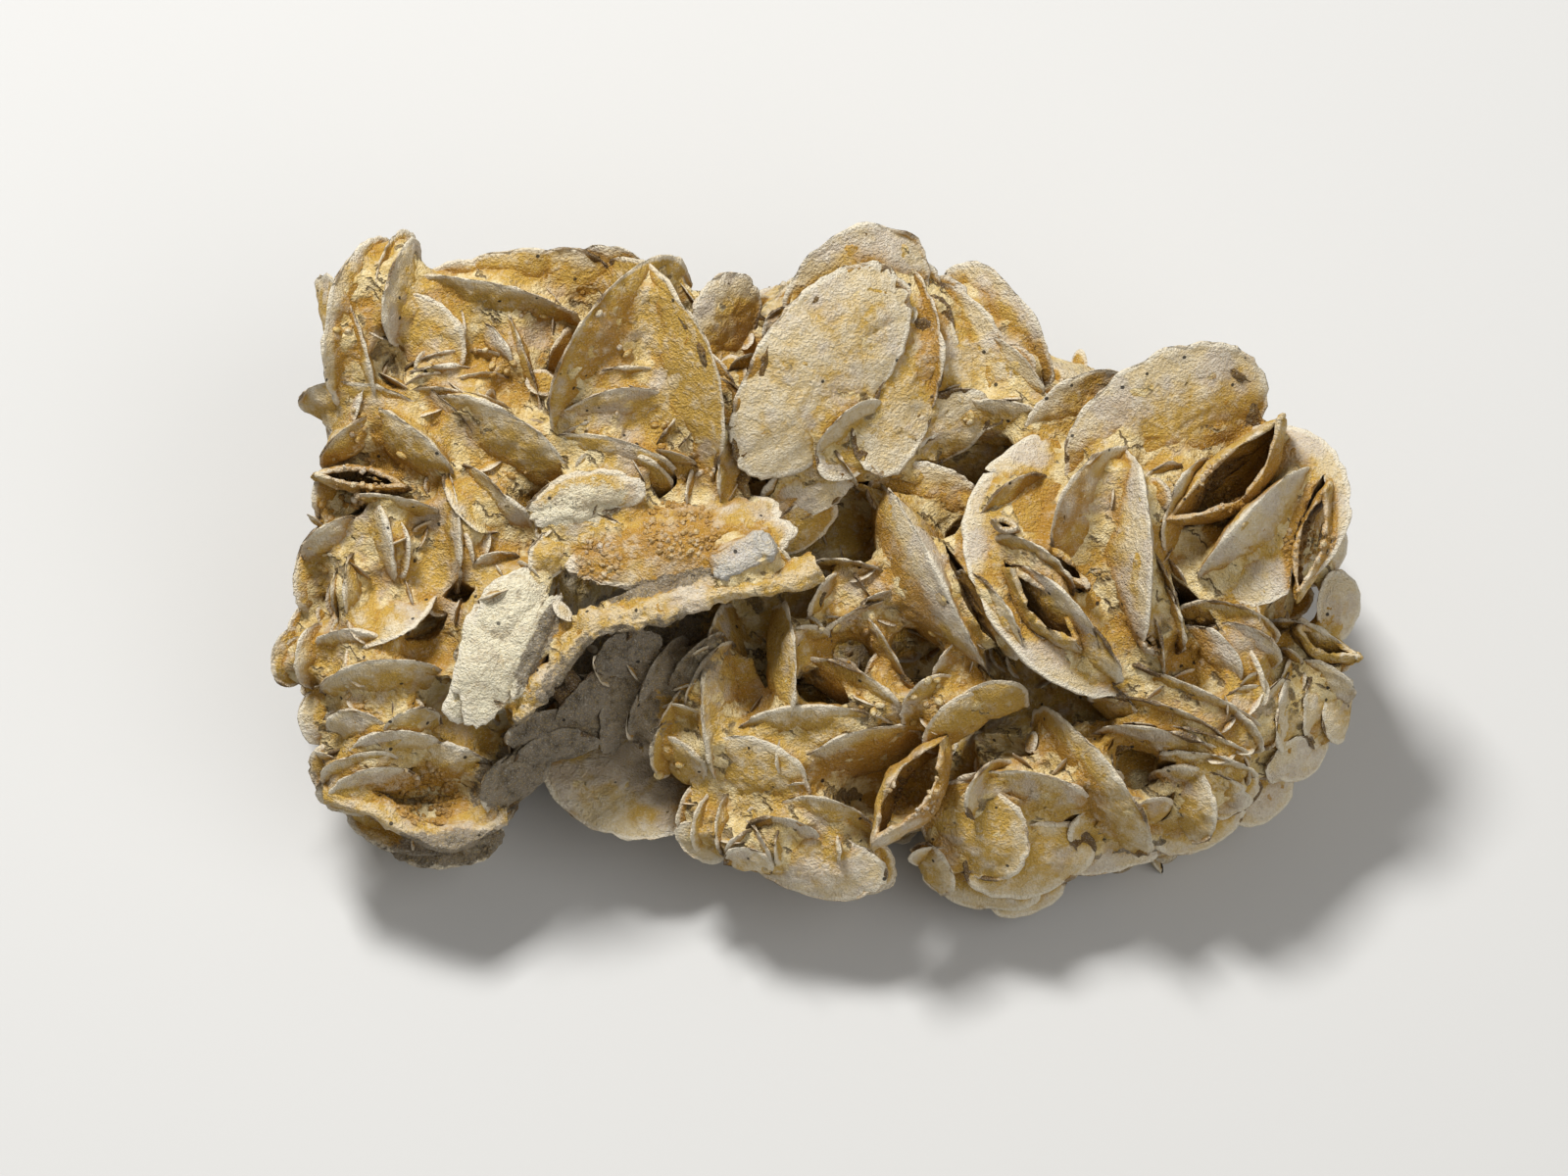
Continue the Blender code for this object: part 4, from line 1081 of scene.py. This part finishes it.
MARL_PATCHES = (
    (-23.0, -10.6, 8.6, 4.4, 48), (-16.0, -8.0, 6.4, 4.6, 20), (-27.6, -16.4, 6.0, 3.6, 20), (-20.6, -15.0, 4.6, 4.0, 0),
    (-31.6, -20.4, 5.0, 3.4, 30), (-28.6, -6.6, 5.8, 1.2, 62), (-38.0, -27.4, 8.0, 2.2, 4), (30.0, -28.6, 8.0, 1.0, 16), (-16.0, -0.6, 8.0, 0.9, 14),
)


def marked(points, patches):
    """How deep each point lies inside the nearest of the oval patches (u, v, reach, breadth, turn) of the face."""
    local = np.array(SHOW.inverted())
    place = points @ local[:3, :3].T + local[:3, 3]
    best = np.full(len(points), -9.0)
    for u, v, reach, breadth, turn in patches:
        across = np.array((math.cos(math.radians(turn)), math.sin(math.radians(turn))))
        away = place[:, :2] / MM - (u, v)
        along = away @ across / reach
        aside = away @ (-across[1], across[0]) / breadth
        best = np.maximum(best, 1.0 - np.hypot(along, aside))
    return best


copies = [core]
for group in crystal_groups:
    take_alone(group)
    bpy.ops.object.duplicate()
    copies.append(bpy.context.object)
mass = join("crystal_mass", copies)
for key in list(mass.keys()):
    del mass[key]
apply_modifier(mass, "unite", "REMESH", mode="VOXEL", voxel_size=MASS_GRAIN * MM)
apply_modifier(mass, "swell", "DISPLACE", strength=MASS_SWELL * MM, mid_level=0.0)
apply_modifier(mass, "grain", "REMESH", mode="VOXEL", voxel_size=MASS_GRAIN * MM)
apply_modifier(mass, "draw_back", "DISPLACE", strength=-(MASS_SWELL + MASS_DEPTH) * MM, mid_level=0.0)
apply_modifier(mass, "soften", "SMOOTH", factor=0.5, iterations=6)
for size, height in MASS_LUMPS:
    roughen(mass, size, height)
points = points_of(mass)
points[:, 2] = np.where(points[:, 2] < FLAT_FOOT * MM, 0.0, points[:, 2])
set_points(mass, points)
carve(mass)
for name in ("rim", "tint"):
    if name in mass.data.attributes:
        mass.data.attributes.remove(mass.data.attributes[name])
finish_piece(mass, calcite_finish("crystal_mass", clay=0.5, warmth=0.5, pale=0.8, marks=True))
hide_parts("crystal_cluster")
crystal_groups.append(cast_walls)
for piece in (mass, *crystal_groups):
    attribute(piece, "chalk", marked(points_of(piece), CHALK_PATCHES))
    attribute(piece, "marl", marked(points_of(piece), MARL_PATCHES))
    attribute(piece, "rust", marked(points_of(piece), RUST_PATCHES))


# ---------------------------------------------------------------------------------------------------------------
# The small crystals that fill the gaps on all sides, sunk to their waists in the mass.

def keeps_clear(at):
    """Whether a spot lies outside the hollows."""
    place = SHOW.inverted() @ at / MM
    return all(math.hypot(place.x - row[0], place.y - row[1]) > 0.75 * row[5] for row in (*CASTS, *PITS))


def in_view(at, normal):
    """Whether a spot is on the show face, seen with nothing in front of it and clear of the hollows."""
    facing = normal.dot(OUTWARD) > 0.1 and shown.ray_cast(at + normal * 0.3 * MM, OUTWARD)[0] is None
    return facing and keeps_clear(at)


blades = whole_surface(crystal_groups)
shown = whole_surface([mass, *crystal_groups])
dice = random.Random("ground")
lenses = [
    small_lens(f"ground_{i}", dice, spot, normal, (1.0, 2.6), dice.uniform(0.2, 0.8), GRAIN_MASTER)
    for i, (spot, normal) in enumerate(sow(dice, mass, 12000, 210, 2.4, in_view, blades))
]
ground_crystals = join("ground_crystals", lenses)
roughen(ground_crystals, 1.1, 0.3)
finish_piece(ground_crystals, calcite_finish("ground_stone", warmth=0.6, pale=0.4))

dice = random.Random("back ground")
lenses = [
    small_lens(f"gap_{i}", dice, spot, normal, (1.6, 4.0), dice.uniform(0.4, 1.4), GRAIN_MASTER)
    for i, (spot, normal) in enumerate(sow(dice, mass, 16000, 210, 2.8, behind, blades))
]
back_ground = join("back_crystals", keep_hidden(lenses, shown))
roughen(back_ground, 1.1, 0.3)
finish_piece(back_ground, calcite_finish("back_ground_stone", warmth=0.6, pale=0.5))
crystal_groups += [ground_crystals, back_ground]


# ---------------------------------------------------------------------------------------------------------------
# Dried clay broken into clods in the pockets between the blades, and druse: tiny calcite crystals that line the
# shelf and the hollows. Both are small many-sided stones strewn over the surface.

def strewn(name, pools, count, sizes, master, finish, tree):
    """Small stones dropped on the show face inside the pools (u, v, radius), count for each square millimetre."""
    dice = random.Random(name)
    stones = []
    for u, v, radius in pools:
        for _ in range(int(count * math.pi * radius ** 2)):
            reach = radius * math.sqrt(dice.random())
            turn = dice.uniform(0, math.tau)
            above = SHOW @ (Vector((u + reach * math.cos(turn), v + reach * math.sin(turn), 26.0)) * MM)
            hit, normal = tree.ray_cast(above, -OUTWARD)[:2]
            if hit is None:
                continue
            stone = master.copy()
            stone.data = master.data.copy()
            bpy.context.scene.collection.objects.link(stone)
            scale = dice.uniform(*sizes) * MM
            shape = [[dice.uniform(-0.25, 0.25) for _ in range(3)] for _ in range(3)] + np.eye(3)
            lie = normal.to_track_quat("Z", "Y").to_matrix() @ Matrix.Rotation(dice.uniform(0, 6.3), 3, "Z")
            set_points(stone, points_of(stone) @ shape @ np.array(lie).T * scale + np.array(hit))
            attribute(stone, "tint", np.full(len(stone.data.vertices), dice.random()))
            stones.append(stone)
    bpy.data.objects.remove(master)
    piece = join(name, stones)
    finish_piece(piece, finish)
    piece.data.polygons.foreach_set("use_smooth", [False] * len(piece.data.polygons))
    return piece


shown = whole_surface([mass, *crystal_groups])
CLAY_POOLS = (
    (-33.2, 22.6, 2.2), (-48.2, 15.6, 2.2), (-48.8, 6.8, 2.2), (-19.6, 23.0, 1.2), (-43.2, 11.8, 1.3),
    (-16.6, 14.6, 1.6), (-12.6, 10.6, 1.6), (-47.6, 24.4, 1.4), (1.4, -6.4, 2.6), (4.2, -6.0, 1.6),
    (9.8, -7.2, 2.0), (4.2, -12.8, 1.8), (9.6, -13.4, 1.6), (-51.4, 2.0, 1.8), (-48.0, -12.6, 1.8),
    (-31.0, 10.0, 1.4), (-39.0, -9.6, 1.2), (-21.6, 16.2, 1.0), (-15.4, -19.8, 1.6), (15.6, 16.2, 1.4),
    (37.6, -5.6, 1.6), (11.0, -11.0, 1.6), (-29.6, 26.6, 1.6), (-23.4, 27.6, 1.6),
)
bpy.ops.object.select_all(action="DESELECT")
bpy.ops.mesh.primitive_ico_sphere_add(subdivisions=2, radius=0.5, scale=(1.0, 0.8, 0.6))
clod = bpy.context.object
bpy.ops.object.transform_apply(location=False, rotation=False, scale=True)
clay_stone = calcite_finish("clay_stone", warmth=0.3, pale=0.8, face=CLAY, flank=DARK_CLAY)
clods = strewn("clay_clods", CLAY_POOLS, 0.5, (0.5, 1.2), clod, clay_stone, shown)
SPARRY_POOLS = (
    (-15.4, 5.0, 2.8), (-12.6, 4.6, 2.4), (-22.6, 1.6, 2.4), (-46.8, 9.6, 2.6), (-40.4, -22.0, 3.2), (9.4, -22.0, 3.0),
    (48.8, 3.4, 2.6), (40.0, 9.0, 2.6),
)
bpy.ops.object.select_all(action="DESELECT")
bpy.ops.mesh.primitive_ico_sphere_add(subdivisions=1, radius=0.5)
spar_stone = calcite_finish("spar_stone", warmth=0.4, pale=1.0, face=LILAC, flank=BUFF)
sparry = strewn("druse", SPARRY_POOLS, 3.4, (0.3, 0.75), bpy.context.object, spar_stone, shown)
crystal_groups += [clods, sparry]


# ---------------------------------------------------------------------------------------------------------------
# Shelter: how far each point is shut in by the stone around it. Every finish reads this value: it paints sheltered
# places ochre and amber and the deepest corners near black, as painted shade, and open ridges paler, as painted light.

SHELTER_REACH = 7.0
GOLDEN = (1 + 5 ** 0.5) / 2


def view_directions():
    """The corners of a dodecahedron as unit vectors."""
    corners = [Vector((x, y, z)) for x in (-1, 1) for y in (-1, 1) for z in (-1, 1)]
    for a in (-1 / GOLDEN, 1 / GOLDEN):
        for b in (-GOLDEN, GOLDEN):
            corners += [Vector((0, a, b)), Vector((a, b, 0)), Vector((b, 0, a))]
    return [corner.normalized() for corner in corners]


def store_shelter(piece, tree, directions):
    """Stores the share of the directions that meet stone within reach, softened between neighbours."""
    shut = []
    reach = SHELTER_REACH * MM
    for vertex in piece.data.vertices:
        normal = vertex.normal
        start = vertex.co + normal * (0.12 * MM)
        total = met = 0.0
        for way in directions:
            facing = normal.dot(way)
            if facing > 0.2:
                total += facing
                if tree.ray_cast(start, way, reach)[0] is not None:
                    met += facing
        shut.append(met / total if total else 0.0)
    values = np.array(shut)
    ends = np.empty(2 * len(piece.data.edges), dtype=np.int32)
    piece.data.edges.foreach_get("vertices", ends)
    ends = ends.reshape(-1, 2)
    for _ in range(2):
        total = values.copy()
        count = np.ones(len(values))
        np.add.at(total, ends[:, 0], values[ends[:, 1]])
        np.add.at(total, ends[:, 1], values[ends[:, 0]])
        np.add.at(count, ends[:, 0], 1)
        np.add.at(count, ends[:, 1], 1)
        values = total / count
    attribute(piece, "shelter", values)


stone_pieces = [mass, *crystal_groups]
surface = whole_surface(stone_pieces)
directions = view_directions()
for piece in stone_pieces:
    store_shelter(piece, surface, directions)


# ---------------------------------------------------------------------------------------------------------------
# The stage: a plain pale floor, soft studio lights and a long lens that looks square on to the show face.

CAMERA_LENS = 150.0
SENSOR = 36.0
FRAME_WIDTH = 160.0
FRAME_MIDDLE = (-4.0, -1.0)

for lens in [*MASTERS.values(), GRAIN_MASTER, BACK_MASTER, DISH_MASTER, WALL_MASTER, *cutters.objects]:
    bpy.data.objects.remove(lens)

bpy.ops.object.select_all(action="DESELECT")
bpy.ops.mesh.primitive_plane_add(size=3.0, location=(0, 0, 0))
floor = bpy.context.object
floor.name = "floor"
paper, start, shader = new_finish("pale_paper")
shader.inputs["Base Color"].default_value = colour(0.50, 0.495, 0.48)
shader.inputs["Roughness"].default_value = 0.9
floor.data.materials.append(paper)


def soft_light(name, place, size, power, warmth=(1.0, 1.0, 1.0)):
    """A square light at place, turned to the middle of the cluster."""
    light = bpy.data.lights.new(name, "AREA")
    light.size = size
    light.energy = power
    light.color = warmth
    lamp = bpy.data.objects.new(name, light)
    bpy.context.scene.collection.objects.link(lamp)
    lamp.location = place
    lamp.rotation_euler = (Vector((0, 0, 0.025)) - Vector(place)).to_track_quat("-Z", "Y").to_euler()


soft_light("key", (-0.18, 0.26, 0.60), 0.14, 6.2)
soft_light("fill", (0.5, -0.4, 0.7), 0.9, 4.2)

world = bpy.data.worlds.new("studio")
bpy.context.scene.world = world
world.use_nodes = True
world.node_tree.nodes["Background"].inputs["Color"].default_value = colour(1.0, 0.98, 0.95)
world.node_tree.nodes["Background"].inputs["Strength"].default_value = 0.22

view = bpy.data.cameras.new("view")
view.lens = CAMERA_LENS
view.sensor_width = SENSOR
view.clip_start = 0.01
camera = bpy.data.objects.new("view", view)
bpy.context.scene.collection.objects.link(camera)
distance = FRAME_WIDTH * CAMERA_LENS / SENSOR
camera.location = SHOW @ (Vector((*FRAME_MIDDLE, distance)) * MM)
camera.rotation_euler = (SHOW_TILT, 0.0, 0.0)
bpy.context.scene.camera = camera
bpy.context.scene.view_settings.view_transform = "Standard"
